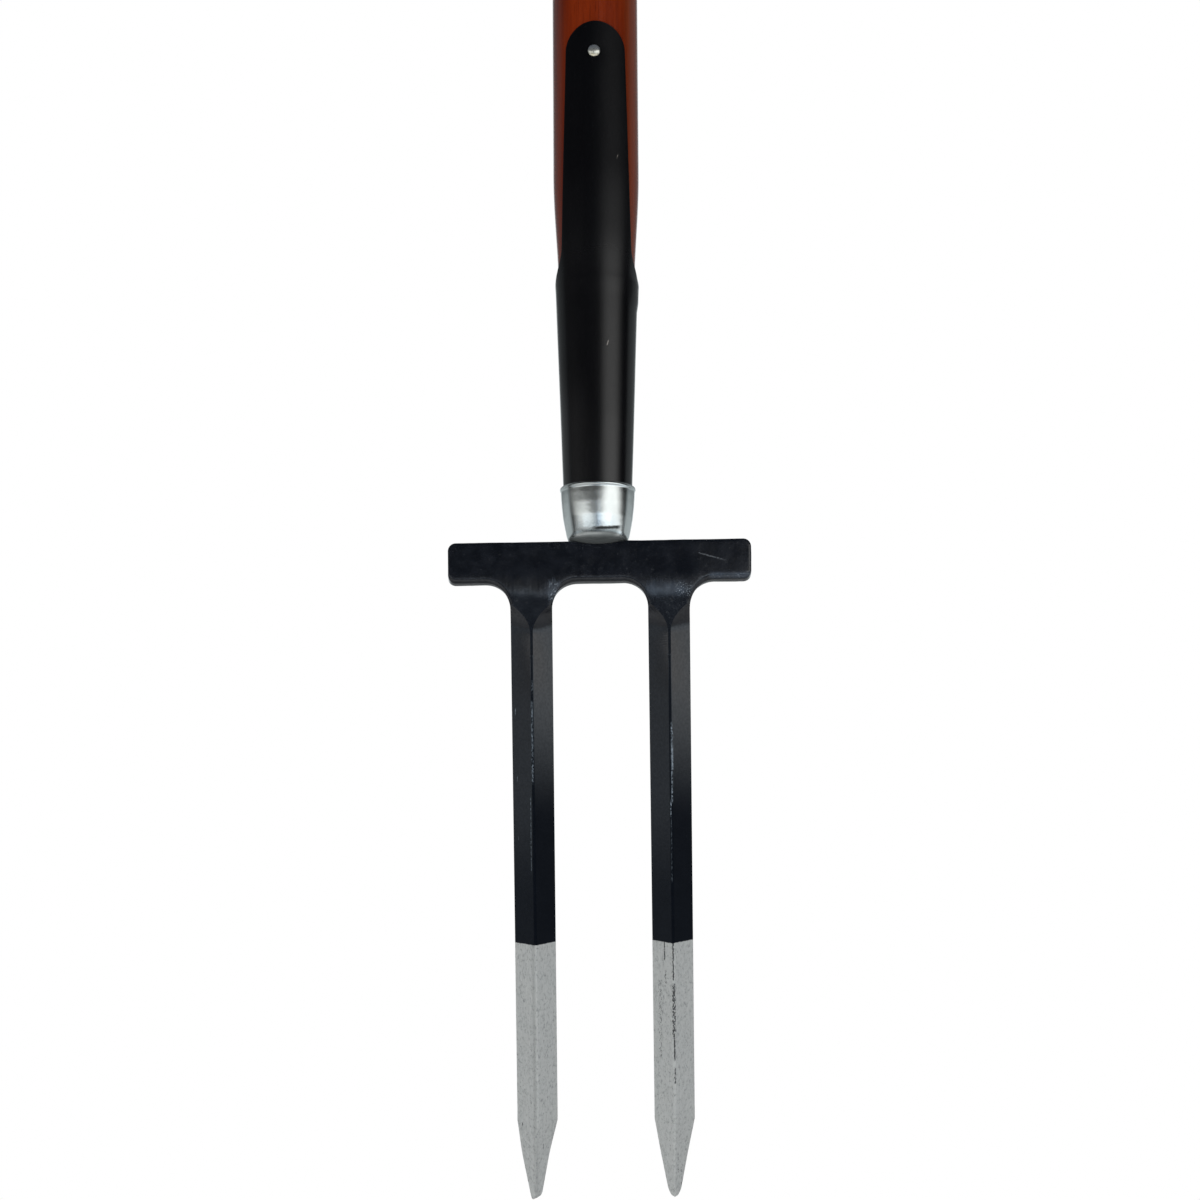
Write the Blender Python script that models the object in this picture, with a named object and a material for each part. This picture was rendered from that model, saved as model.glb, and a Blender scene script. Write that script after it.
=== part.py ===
"""Border fork: a forged two-tine head, a strapped wooden shaft and a D-shaped grip.

The shaft stands along +Z and the convex side of the fork faces -Y, so the tines run down and
lean back towards +Y. The origin is the middle of the crossbar's flat underside, between the
tines. All lengths are in metres.
"""

import math

import bmesh
import bpy
from mathutils import Vector

# Clearance between pieces that touch
GAP = 0.0003

# Crossbar with its two foot treads
CROSSBAR_LENGTH = 0.1256
CROSSBAR_HEIGHT = 0.0167
CROSSBAR_THICKNESS = 0.0105
CROSSBAR_CORNER = 0.0033
CROSSBAR_EDGE = 0.0009

# Tines: diamond bar, wider than it is deep, with a worn ridge at each corner
TINE_SPACING = 0.0570
TINE_ACROSS = 0.0173
TINE_LOW_ACROSS = 0.0166
TINE_DEPTH = 0.0126
TINE_LENGTH = 0.2560
TINE_CRANK = math.radians(13.0)
TINE_BEND_RADIUS = 0.044
TINE_RIDGE = 0.0014
ROOT_FILLET = 0.0104
ROOT_SWELL_LENGTH = 0.014
ROOT_INSET = 0.00005
FLAME_START = 0.0083
FLAME_FADE = 0.0043
POINT_LENGTH = 0.033
POINT_END_ACROSS = 0.0040
POINT_NOSE = 0.0014
POINT_NOSE_LOSS = 0.85

# Neck and tang, driven up into the wood
NECK_DIAMETER = 0.0094
NECK_ROOT = 0.006
TANG_ROOT_WIDTH = 0.0078
TANG_END_WIDTH = 0.0040
TANG_LENGTH = 0.080
TANG_CORNER_SHARE = 0.3

# Ferrule: a pressed cup with a barrel-shaped wall
FERRULE_HEIGHT = 0.0249
FERRULE_WALL = 0.0008
FERRULE_TAPER = 0.0026
FERRULE_BARREL_SHARE = 0.57
FERRULE_CORNER = 0.0024
FERRULE_CORNER_HEIGHT = 0.0034
FERRULE_DOME_RADIUS = 0.033
FERRULE_SEAT_DEPTH = 0.0021
FERRULE_LIP = 0.0012

# Shaft: diameters at the grip, in the socket's mouth and at the ferrule's rim
SHAFT_DIAMETER = 0.0360
SHAFT_MOUTH_DIAMETER = 0.0315
SHAFT_RIM_DIAMETER = 0.0256
SHAFT_SHOULDER_LENGTH = 0.055
SHAFT_SHOULDER_LEAD = 0.006
SHAFT_END_ROOM = 0.004
SHAFT_TOP = 0.668
SHAFT_TOP_CHAMFER = 0.002

# Socket and straps: two half shells that meet along the sides
STRAP_WALL = 0.0012
STRAP_IN_FERRULE = 0.010
SOCKET_TOP = 0.1266
SOCKET_FLARE = 0.0140
STRAP_TOP = 0.2375
STRAP_FOOT_WIDTH = 0.0300
STRAP_HEAD_WIDTH = 0.0250
STRAP_RIVET_DROP = 0.0133

# Rivets with domed heads at both ends
STRAP_RIVET_SHANK = 0.0034
STRAP_RIVET_HEAD = 0.0052
STRAP_RIVET_DOME = 0.0013
YOKE_RIVET_SHANK = 0.0048
YOKE_RIVET_HEAD = 0.0090
YOKE_RIVET_DOME = 0.0020

# Yoke: a collar round the shaft and two arms that hold the grip
COLLAR_LENGTH = 0.056
COLLAR_WALL = 0.0016
COLLAR_CHAMFER = 0.0006
COLLAR_ABOVE_SHAFT = 0.001
ARM_WALL = 0.0024
ARM_PROUD = 0.0004
ARM_OVERLAP = 0.016
ARM_LEAVES_COLLAR = 0.0064
ARM_MEETS_EYE = 0.0175
ARM_STIFFNESS = 0.62
ARM_FLAT_SHARE = 0.77
ARM_FOOT_WIDTH = 0.027
ARM_WAIST_WIDTH = 0.017
EYE_DIAMETER = 0.025
YOKE_RIVET_INSET = 0.013

# Grip, its rod and washers
GRIP_HEIGHT = 0.066
GRIP_LENGTH = 0.098
GRIP_DIAMETER = 0.032
GRIP_END_DIAMETER = 0.027
GRIP_END_ROUND = 0.003
GRIP_END_STEP = 0.0018
ROD_DIAMETER = 0.0070
ROD_HEAD = 0.0120
ROD_DOME = 0.0026
WASHER_DIAMETER = 0.0165
WASHER_THICKNESS = 0.0014

# Facet counts
TURN_STEPS = 36
SMALL_TURN_STEPS = 16
STRAP_COLUMNS = 16
ARM_COLUMNS = 6

# Heights along the shaft that follow from the sizes above
FERRULE_BOTTOM = CROSSBAR_HEIGHT - FERRULE_SEAT_DEPTH + GAP
FERRULE_RIM = FERRULE_BOTTOM + FERRULE_HEIGHT
NECK_TOP = FERRULE_BOTTOM + FERRULE_WALL
SHAFT_BOTTOM = NECK_TOP + SHAFT_END_ROOM
STRAP_BOTTOM = FERRULE_RIM - STRAP_IN_FERRULE
SHOULDER_FOOT = SOCKET_TOP - SHAFT_SHOULDER_LEAD
SHOULDER_END = SHOULDER_FOOT + SHAFT_SHOULDER_LENGTH
STRAP_RIVET_Z = STRAP_TOP - STRAP_RIVET_DROP
COLLAR_TOP = SHAFT_TOP + COLLAR_ABOVE_SHAFT
COLLAR_BOTTOM = COLLAR_TOP - COLLAR_LENGTH
GRIP_Z = SHAFT_TOP + GRIP_HEIGHT
FERRULE_RIM_RADIUS = SHAFT_RIM_DIAMETER / 2 + GAP + STRAP_WALL + GAP + FERRULE_WALL
EYE_X = GRIP_LENGTH / 2 + GAP + ARM_WALL / 2


def clear_scene():
    for item in list(bpy.data.objects):
        bpy.data.objects.remove(item, do_unlink=True)


def material(name, colour, roughness, metallic):
    made = bpy.data.materials.new(name)
    made.use_nodes = True
    shader = made.node_tree.nodes["Principled BSDF"]
    shader.inputs["Base Color"].default_value = (*colour, 1.0)
    shader.inputs["Roughness"].default_value = roughness
    shader.inputs["Metallic"].default_value = metallic
    return made


def smooth_step(value):
    held = min(max(value, 0.0), 1.0)
    return held * held * (3.0 - 2.0 * held)


def blend(start, end, share):
    return start + (end - start) * share


def add_object(name, bm, finish=None):
    """Turn a bmesh into an object with round faces shaded smooth."""
    mesh = bpy.data.meshes.new(name)
    bm.to_mesh(mesh)
    bm.free()
    mesh.shade_smooth()
    mesh.set_sharp_from_angle(angle=math.radians(35.0))
    made = bpy.data.objects.new(name, mesh)
    bpy.context.scene.collection.objects.link(made)
    if finish is not None:
        mesh.materials.append(finish)
    return made


def as_guide(item):
    """Mark an object that only cuts or joins another one."""
    item.hide_render = True
    item.display_type = "WIRE"
    return item


def boolean(target, tool, operation):
    step = target.modifiers.new(operation.lower(), "BOOLEAN")
    step.operation = operation
    step.solver = "EXACT"
    step.object = as_guide(tool)


def loft(name, rings, finish=None):
    """Skin a row of rings that have equal numbers of points, and cap both ends."""
    bm = bmesh.new()
    loops = [[bm.verts.new(point) for point in ring] for ring in rings]
    count = len(loops[0])
    for low, high in zip(loops, loops[1:]):
        for i in range(count):
            j = (i + 1) % count
            bm.faces.new((low[i], low[j], high[j], high[i]))
    bm.faces.new(loops[0])
    bm.faces.new(loops[-1])
    bmesh.ops.recalc_face_normals(bm, faces=bm.faces)
    return add_object(name, bm, finish)


def turned(name, profile, finish=None, steps=TURN_STEPS, closed=False):
    """Spin a profile of (radius, height) points round Z; a closed profile leaves a bore."""
    bm = bmesh.new()
    points = [bm.verts.new((radius, 0.0, height)) for radius, height in profile]
    edges = [bm.edges.new(pair) for pair in zip(points, points[1:])]
    if closed:
        edges.append(bm.edges.new((points[-1], points[0])))
    bmesh.ops.spin(
        bm,
        geom=points + edges,
        cent=(0.0, 0.0, 0.0),
        axis=(0.0, 0.0, 1.0),
        angle=2.0 * math.pi,
        steps=steps,
        use_merge=True,
    )
    bmesh.ops.remove_doubles(bm, verts=bm.verts, dist=1e-6)
    bmesh.ops.recalc_face_normals(bm, faces=bm.faces)
    return add_object(name, bm, finish)


def along_x(item, x, z):
    item.rotation_euler = (0.0, math.pi / 2, 0.0)
    item.location = (x, 0.0, z)
    return item


def along_y(item, z):
    item.rotation_euler = (math.pi / 2, 0.0, 0.0)
    item.location = (0.0, 0.0, z)
    return item


def drill(diameter, length, name):
    """A plain cutter for a round hole, along Z."""
    radius = diameter / 2 + GAP
    profile = [(0.0, -length / 2), (radius, -length / 2), (radius, length / 2), (0.0, length / 2)]
    return turned(name, profile, steps=SMALL_TURN_STEPS)


# Ferrule, shaft and socket radii, each as a function of the height

def ferrule_wall_radius(z):
    """Outer radius of the ferrule's barrel-shaped wall, narrowing faster towards the bottom."""
    drop = (FERRULE_RIM - FERRULE_LIP - z) / (FERRULE_HEIGHT - FERRULE_LIP - FERRULE_CORNER_HEIGHT)
    held = max(drop, 0.0)
    return FERRULE_RIM_RADIUS - FERRULE_TAPER * blend(held, held * held, FERRULE_BARREL_SHARE)


def inside_ferrule(z, grown_radius):
    """Keep a radius clear of the ferrule's inner wall below its rim."""
    if z >= FERRULE_RIM:
        return grown_radius
    return min(grown_radius, ferrule_wall_radius(z) - FERRULE_WALL - GAP)


def shaft_seat_radius(z):
    """The tapered end of the wood, from the ferrule up to the socket's mouth."""
    share = (z - FERRULE_RIM) / (SOCKET_TOP - FERRULE_RIM)
    return blend(SHAFT_RIM_DIAMETER, SHAFT_MOUTH_DIAMETER, share) / 2


def shaft_radius(z):
    seat = shaft_seat_radius(min(z, SOCKET_TOP))
    rise = smooth_step((z - SHOULDER_FOOT) / SHAFT_SHOULDER_LENGTH)
    return blend(seat, SHAFT_DIAMETER / 2, rise)


def strap_inner_radius(z):
    """The straps lie on the wood, and their lower ends are drawn in to pass the ferrule."""
    return inside_ferrule(z, shaft_radius(z) + GAP + STRAP_WALL) - STRAP_WALL


def wood_radius(z):
    """The wood follows the straps inside the ferrule, and the ferrule's wall below them."""
    if z >= STRAP_BOTTOM:
        return strap_inner_radius(z) - GAP
    return min(strap_inner_radius(STRAP_BOTTOM) - GAP, inside_ferrule(z, shaft_radius(z)))


def strap_half_width(z):
    """Half the strap's width, seen from the front: two tapering sides and a round head."""
    head = STRAP_HEAD_WIDTH / 2
    head_centre = STRAP_TOP - head
    if z > head_centre:
        return math.sqrt(max(head * head - (z - head_centre) ** 2, 0.0))
    share = (z - SOCKET_TOP) / (head_centre - SOCKET_TOP)
    return blend(STRAP_FOOT_WIDTH, STRAP_HEAD_WIDTH, share) / 2


def strap_half_angle(z):
    """Half the angle that a shell takes up round the shaft at this height."""
    radius = strap_inner_radius(z) + STRAP_WALL
    seam = math.pi / 2 - GAP / (2.0 * radius)
    if z <= SOCKET_TOP:
        return seam
    side = math.asin(min(strap_half_width(z) / radius, 1.0))
    left = max(1.0 - (z - SOCKET_TOP) / SOCKET_FLARE, 0.0)
    return blend(side, seam, left * left)


# Fork head

def crossbar():
    """A flat bar with rounded corners, made by extruding its outline and bevelling the edges."""
    bm = bmesh.new()
    half = CROSSBAR_LENGTH / 2 - CROSSBAR_CORNER
    low = CROSSBAR_CORNER
    high = CROSSBAR_HEIGHT - CROSSBAR_CORNER
    corners = [(half, low, -90), (half, high, 0), (-half, high, 90), (-half, low, 180)]
    outline = []
    for x, z, start in corners:
        for step in range(6):
            angle = math.radians(start + 18 * step)
            place = (x + CROSSBAR_CORNER * math.cos(angle), -CROSSBAR_THICKNESS / 2,
                     z + CROSSBAR_CORNER * math.sin(angle))
            outline.append(bm.verts.new(place))
    face = bm.faces.new(outline)
    grown = bmesh.ops.extrude_face_region(bm, geom=[face])
    moved = [item for item in grown["geom"] if isinstance(item, bmesh.types.BMVert)]
    bmesh.ops.translate(bm, verts=moved, vec=(0.0, CROSSBAR_THICKNESS, 0.0))
    rims = [edge for edge in bm.edges if abs(edge.verts[0].co.y - edge.verts[1].co.y) < GAP]
    bmesh.ops.bevel(bm, geom=rims, offset=CROSSBAR_EDGE, segments=3, profile=0.5, affect="EDGES")
    bmesh.ops.recalc_face_normals(bm, faces=bm.faces)
    return bm


def tine_axis(s):
    """Centre line of a tine: s runs down it from the crossbar's underside, round the bend."""
    if s <= 0.0:
        return 0.0, -s, 0.0
    angle = min(s / TINE_BEND_RADIUS, TINE_CRANK)
    straight = s - TINE_BEND_RADIUS * angle
    y = TINE_BEND_RADIUS * (1.0 - math.cos(angle)) + straight * math.sin(angle)
    z = -TINE_BEND_RADIUS * math.sin(angle) - straight * math.cos(angle)
    return y, z, angle


def tine_across(s):
    """Width of the diamond bar from corner to corner, drawn out slightly towards the point."""
    return blend(TINE_ACROSS, TINE_LOW_ACROSS, max(s, 0.0) / TINE_LENGTH)


def tine_depth(s):
    """Depth of the bar from the front ridge to the back one, in proportion to its width."""
    return tine_across(s) * TINE_DEPTH / TINE_ACROSS


def tine_half_width(s):
    """The fillet under the crossbar, then the bar itself."""
    left = min(max(ROOT_FILLET - s, 0.0), ROOT_FILLET)
    return tine_across(s) / 2 + ROOT_FILLET - math.sqrt(ROOT_FILLET**2 - left**2)


def tine_section(s):
    """Half width, half depth and the half widths of the front and side flats at s.

    Under the crossbar the section is a flat plate. Its front narrows in two hollow curves, like
    a flame, until only the ridge is left and the section is a diamond.
    """
    width = tine_half_width(s)
    plate = CROSSBAR_THICKNESS / 2 - ROOT_INSET
    depth = blend(plate, tine_depth(s) / 2, smooth_step(s / ROOT_SWELL_LENGTH))
    fade = math.exp(-max(s - FLAME_START, 0.0) / FLAME_FADE)
    ridge = TINE_RIDGE / 2
    front = min(width - CROSSBAR_EDGE, ridge + (width - ridge) * fade)
    side = min(depth - CROSSBAR_EDGE, ridge + (plate - ridge) * fade)
    share = point_share(TINE_LENGTH - s)
    return width * share, depth * share, front * share, side * share


def point_share(left):
    """What is left of the section this far from the tip: a long point with a blunt nose."""
    if left >= POINT_LENGTH:
        return 1.0
    end = POINT_END_ACROSS / TINE_LOW_ACROSS
    if left >= POINT_NOSE:
        return blend(end, 1.0, (left - POINT_NOSE) / (POINT_LENGTH - POINT_NOSE))
    return end * math.sqrt(1.0 - POINT_NOSE_LOSS * (1.0 - left / POINT_NOSE) ** 2)


def tine_stations():
    """Places along the tine: close together on the fillet, the flame and the point."""
    fillet = [ROOT_FILLET * (1.0 - math.cos(math.radians(15 * i))) for i in range(6)]
    flame = [ROOT_FILLET + FLAME_FADE * 5.0 * (i / 12) ** 1.3 for i in range(13)]
    shank = [TINE_LENGTH * 0.3, TINE_LENGTH * 0.6, TINE_LENGTH - POINT_LENGTH]
    point = [TINE_LENGTH - POINT_LENGTH * 0.5]
    nose = [TINE_LENGTH - POINT_NOSE * share for share in (1.0, 0.5, 0.2, 0.0)]
    return [-CROSSBAR_HEIGHT / 2] + fillet + flame + shank + point + nose


def tine(side):
    rings = []
    for s in tine_stations():
        y, z, angle = tine_axis(s)
        width, depth, front, flat = tine_section(s)
        outline = [(front, -depth), (width, -flat), (width, flat), (front, depth),
                   (-front, depth), (-width, flat), (-width, -flat), (-front, -depth)]
        ring = []
        for across, back in outline:
            x = side * TINE_SPACING / 2 + across
            ring.append((x, y + back * math.cos(angle), z + back * math.sin(angle)))
        rings.append(ring)
    return loft(f"tine_guide_{'right' if side > 0 else 'left'}", rings)


def cut_square(half, corner, z):
    """A square with its corners cut off."""
    flat = half - corner
    return [(half, flat, z), (flat, half, z), (-flat, half, z), (-half, flat, z),
            (-half, -flat, z), (-flat, -half, z), (flat, -half, z), (half, -flat, z)]


def tang_rings(clearance):
    """Round neck through the ferrule, then a square tapering tang with broken corners."""
    neck = (NECK_DIAMETER / 2 + clearance) * math.cos(math.pi / 8)
    neck_corner = neck * (1.0 - math.tan(math.pi / 8))
    root = TANG_ROOT_WIDTH / 2 + clearance
    end = TANG_END_WIDTH / 2 + clearance
    shoulder = NECK_TOP + clearance
    top = NECK_TOP + TANG_LENGTH + clearance
    return [
        cut_square(neck, neck_corner, CROSSBAR_HEIGHT - NECK_ROOT),
        cut_square(neck, neck_corner, shoulder),
        cut_square(root, root * TANG_CORNER_SHARE, shoulder + (neck - root)),
        cut_square(end, end * TANG_CORNER_SHARE, top),
    ]


def ferrule_surface(inset):
    """Profile of the cup: out from the hole over the domed bottom, round the corner, up the wall.

    The inset is 0 for the outside, the wall's thickness for the inside and less than 0 for the
    seat in the crossbar.
    """
    floor = FERRULE_BOTTOM + inset
    foot = floor + FERRULE_CORNER_HEIGHT
    wall = ferrule_wall_radius(foot) - inset
    points = []
    for i in range(4):
        radius = blend(NECK_DIAMETER / 2 + GAP, wall - FERRULE_CORNER, i / 3)
        points.append((radius, floor + radius**2 / (2.0 * FERRULE_DOME_RADIUS)))
    start = points[-1]
    slope = start[0] / FERRULE_DOME_RADIUS
    turn = (wall, start[1] + slope * FERRULE_CORNER)
    for i in range(1, 4):
        t = i / 4
        radius = (1 - t) ** 2 * start[0] + 2 * t * (1 - t) * turn[0] + t * t * wall
        height = (1 - t) ** 2 * start[1] + 2 * t * (1 - t) * turn[1] + t * t * foot
        points.append((radius, height))
    for i in range(6):
        height = blend(foot, FERRULE_RIM - FERRULE_LIP, i / 5)
        points.append((ferrule_wall_radius(height) - inset, height))
    return points


def fork_head(steel):
    head = add_object("fork_head", crossbar(), steel)
    seat = ferrule_surface(-GAP)
    seat = [(0.0, seat[0][1])] + seat + [(0.0, seat[-1][1])]
    boolean(head, turned("ferrule_seat_cutter", seat), "DIFFERENCE")
    boolean(head, loft("tang_guide", tang_rings(0.0)), "UNION")
    for side in (-1, 1):
        boolean(head, tine(side), "UNION")
    return head


# Ferrule and shaft

def ferrule(zinc):
    """The cup is a bent sheet: outside, a rounded lip, and the inside back down to the hole."""
    lip = []
    for degrees in (45, 90, 135):
        angle = math.radians(degrees)
        radius = FERRULE_RIM_RADIUS - FERRULE_WALL / 2 + FERRULE_WALL / 2 * math.cos(angle)
        lip.append((radius, FERRULE_RIM - FERRULE_LIP + FERRULE_LIP * math.sin(angle)))
    inside = ferrule_surface(FERRULE_WALL)[::-1]
    return turned("ferrule", ferrule_surface(0.0) + lip + inside, zinc, closed=True)


def shaft(wood):
    heights = [SHAFT_BOTTOM, blend(SHAFT_BOTTOM, STRAP_BOTTOM, 0.5), STRAP_BOTTOM]
    heights += [blend(STRAP_BOTTOM, FERRULE_RIM, i / 3) for i in range(1, 4)]
    heights += [blend(SHOULDER_FOOT, SHOULDER_END, i / 8) for i in range(9)]
    heights += [blend(STRAP_TOP, SHAFT_TOP, 0.5), SHAFT_TOP - SHAFT_TOP_CHAMFER]
    profile = [(0.0, SHAFT_BOTTOM)] + [(wood_radius(z), z) for z in heights]
    profile += [(SHAFT_DIAMETER / 2 - SHAFT_TOP_CHAMFER, SHAFT_TOP), (0.0, SHAFT_TOP)]
    made = turned("shaft", profile, wood)
    boolean(made, loft("tang_bore_cutter", tang_rings(GAP)), "DIFFERENCE")
    through = SHAFT_DIAMETER * 2
    boolean(made, along_y(drill(STRAP_RIVET_SHANK, through, "shaft_strap_drill"), STRAP_RIVET_Z),
            "DIFFERENCE")
    for name, z in yoke_rivets():
        boolean(made, along_y(drill(YOKE_RIVET_SHANK, through, f"shaft_{name}_drill"), z),
                "DIFFERENCE")
    return made


# Socket shells with their straps

def strap_rows():
    """Heights of the shell's rows, close together on the flare and the round head."""
    head = STRAP_HEAD_WIDTH / 2
    rows = [blend(STRAP_BOTTOM, FERRULE_RIM, i / 3) for i in range(4)]
    rows += [blend(FERRULE_RIM, SOCKET_TOP, 0.5), SHOULDER_FOOT]
    rows += [SOCKET_TOP + SOCKET_FLARE * (1.0 - math.cos(math.radians(15 * i))) for i in range(7)]
    rows += [blend(SOCKET_TOP + SOCKET_FLARE, SHOULDER_END, i / 4) for i in range(1, 5)]
    rows += [blend(SHOULDER_END, STRAP_TOP - head, 0.5)]
    rows += [STRAP_TOP - head + head * math.sin(math.radians(12 * i)) for i in range(8)]
    return rows


def strap(name, side, steel):
    """One half of the socket with its strap: a curved sheet, thickened outwards."""
    bm = bmesh.new()
    grid = []
    for z in strap_rows():
        radius = strap_inner_radius(z)
        reach = strap_half_angle(z)
        row = []
        for i in range(STRAP_COLUMNS + 1):
            angle = reach * (2.0 * i / STRAP_COLUMNS - 1.0)
            place = (radius * math.sin(angle), side * radius * math.cos(angle), z)
            row.append(bm.verts.new(place))
        grid.append(row)
    for low, high in zip(grid, grid[1:]):
        for i in range(STRAP_COLUMNS):
            corners = (low[i], low[i + 1], high[i + 1], high[i])
            bm.faces.new(corners if side < 0 else corners[::-1])
    made = add_object(name, bm, steel)
    shell = made.modifiers.new("wall", "SOLIDIFY")
    shell.thickness = STRAP_WALL
    shell.offset = 1.0
    shell.use_even_offset = True
    hole = drill(STRAP_RIVET_SHANK, SHAFT_DIAMETER * 2, f"{name}_drill")
    boolean(made, along_y(hole, STRAP_RIVET_Z), "DIFFERENCE")
    return made


def rivet(name, shank, head, dome, grip, finish):
    """A round shank with a domed head at both ends, along Z; grip is the length it clamps."""
    half = grip / 2 + GAP
    profile = []
    for degrees in (0, 30, 60, 90):
        angle = math.radians(degrees)
        profile.append((head / 2 * math.sin(angle), half + dome * math.cos(angle)))
    profile.append((shank / 2, half))
    mirrored = [(radius, -height) for radius, height in reversed(profile)]
    return turned(name, profile + mirrored, finish, steps=SMALL_TURN_STEPS)


def strap_rivet(zinc):
    grip = 2 * (strap_inner_radius(STRAP_RIVET_Z) + STRAP_WALL)
    made = rivet("strap_rivet", STRAP_RIVET_SHANK, STRAP_RIVET_HEAD, STRAP_RIVET_DOME, grip, zinc)
    return along_y(made, STRAP_RIVET_Z)


# Yoke with its rivets

def yoke_rivets():
    low = COLLAR_BOTTOM + YOKE_RIVET_INSET
    high = COLLAR_TOP - YOKE_RIVET_INSET
    return [("yoke_rivet_lower", low), ("yoke_rivet_upper", high)]


def arm_path(share):
    """Middle line of an arm in X and Z, with its direction: up the collar, out, then up."""
    collar = SHAFT_DIAMETER / 2 + GAP + ARM_PROUD + ARM_WALL / 2
    start = Vector((collar, COLLAR_TOP - ARM_LEAVES_COLLAR))
    end = Vector((EYE_X, GRIP_Z - ARM_MEETS_EYE))
    pull = (end.y - start.y) * ARM_STIFFNESS
    first = start + Vector((0.0, pull))
    second = end - Vector((0.0, pull))
    t = share
    point = (1 - t) ** 3 * start + 3 * t * (1 - t) ** 2 * first
    point += 3 * t * t * (1 - t) * second + t**3 * end
    way = (1 - t) ** 2 * (first - start) + 2 * t * (1 - t) * (second - first) + t * t * (end - second)
    return point, way.normalized()


def arm_ring(side, point, way, half_width, hollow):
    """A thin curved section: hollow is 1 where it wraps the collar and 0 where it is flat."""
    collar = SHAFT_DIAMETER / 2 + GAP + ARM_PROUD + ARM_WALL / 2
    outward = Vector((way.y, -way.x))
    ring = []
    for face in (1, -1):
        for i in range(ARM_COLUMNS + 1):
            y = half_width * (2.0 * i / ARM_COLUMNS - 1.0) * face
            cup = hollow * (collar - math.sqrt(collar**2 - y**2))
            place = point + outward * (face * ARM_WALL / 2 - cup)
            ring.append((side * place.x, y, place.y))
    return ring


def arm(side):
    """One arm: it wraps the collar, spreads outwards and ends in a flat round eye."""
    rings = []
    foot = Vector((arm_path(0.0)[0].x, COLLAR_TOP - ARM_OVERLAP))
    up = Vector((0.0, 1.0))
    rings.append(arm_ring(side, foot, up, ARM_FOOT_WIDTH / 2, 1.0))
    for i in range(13):
        share = i / 12
        point, way = arm_path(share)
        half = blend(ARM_FOOT_WIDTH, ARM_WAIST_WIDTH, smooth_step(share)) / 2
        hollow = 1.0 - smooth_step(share / ARM_FLAT_SHARE)
        rings.append(arm_ring(side, point, way, half, hollow))
    eye = EYE_DIAMETER / 2
    for angle in (-35, -15, 0, 20, 40, 58, 72, 82):
        height = GRIP_Z + eye * math.sin(math.radians(angle))
        half = eye * math.cos(math.radians(angle))
        rings.append(arm_ring(side, Vector((EYE_X, height)), up, half, 0.0))
    return loft(f"arm_guide_{'right' if side > 0 else 'left'}", rings)


def grip_yoke(steel):
    bore = SHAFT_DIAMETER / 2 + GAP
    outer = bore + COLLAR_WALL
    edge = COLLAR_CHAMFER
    profile = [(bore, COLLAR_BOTTOM), (outer - edge, COLLAR_BOTTOM), (outer, COLLAR_BOTTOM + edge),
               (outer, COLLAR_TOP - edge), (outer - edge, COLLAR_TOP), (bore, COLLAR_TOP)]
    made = turned("grip_yoke", profile, steel, closed=True)
    for side in (-1, 1):
        boolean(made, arm(side), "UNION")
    for name, z in yoke_rivets():
        cutter = drill(YOKE_RIVET_SHANK, outer * 3, f"collar_{name}_drill")
        boolean(made, along_y(cutter, z), "DIFFERENCE")
    eyes = drill(ROD_DIAMETER, EYE_X * 3, "eye_drill")
    boolean(made, along_x(eyes, 0.0, GRIP_Z), "DIFFERENCE")
    return made


def yoke_rivet(name, z, steel):
    grip = 2 * (SHAFT_DIAMETER / 2 + GAP + COLLAR_WALL)
    made = rivet(name, YOKE_RIVET_SHANK, YOKE_RIVET_HEAD, YOKE_RIVET_DOME, grip, steel)
    return along_y(made, z)


# Grip, rod and washers

def grip(wood):
    """A turned wooden grip, thickest in the middle, with a bore for the rod."""
    bore = ROD_DIAMETER / 2 + GAP
    half = GRIP_LENGTH / 2
    outer = []
    for i in range(13):
        z = (half - GRIP_END_ROUND) * (i / 6 - 1.0)
        swell = 1.0 - (z / half) ** 2
        outer.append((blend(GRIP_END_DIAMETER, GRIP_DIAMETER, swell) / 2, z))
    low = outer[0][0] - GRIP_END_STEP
    profile = [(bore, -half), (low, -half)] + outer + [(low, half), (bore, half)]
    return along_x(turned("grip", profile, wood, closed=True), 0.0, GRIP_Z)


def washer(name, side, steel):
    bore = ROD_DIAMETER / 2 + GAP
    outer = WASHER_DIAMETER / 2
    profile = [(bore, 0.0), (outer, 0.0), (outer, WASHER_THICKNESS), (bore, WASHER_THICKNESS)]
    made = turned(name, profile, steel, steps=SMALL_TURN_STEPS, closed=True)
    inner_face = EYE_X + ARM_WALL / 2 + GAP
    x = inner_face if side > 0 else -inner_face - WASHER_THICKNESS
    return along_x(made, x, GRIP_Z)


def grip_rod(steel):
    clamped = 2 * (EYE_X + ARM_WALL / 2 + GAP + WASHER_THICKNESS)
    made = rivet("grip_rod", ROD_DIAMETER, ROD_HEAD, ROD_DOME, clamped, steel)
    return along_x(made, 0.0, GRIP_Z)


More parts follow.
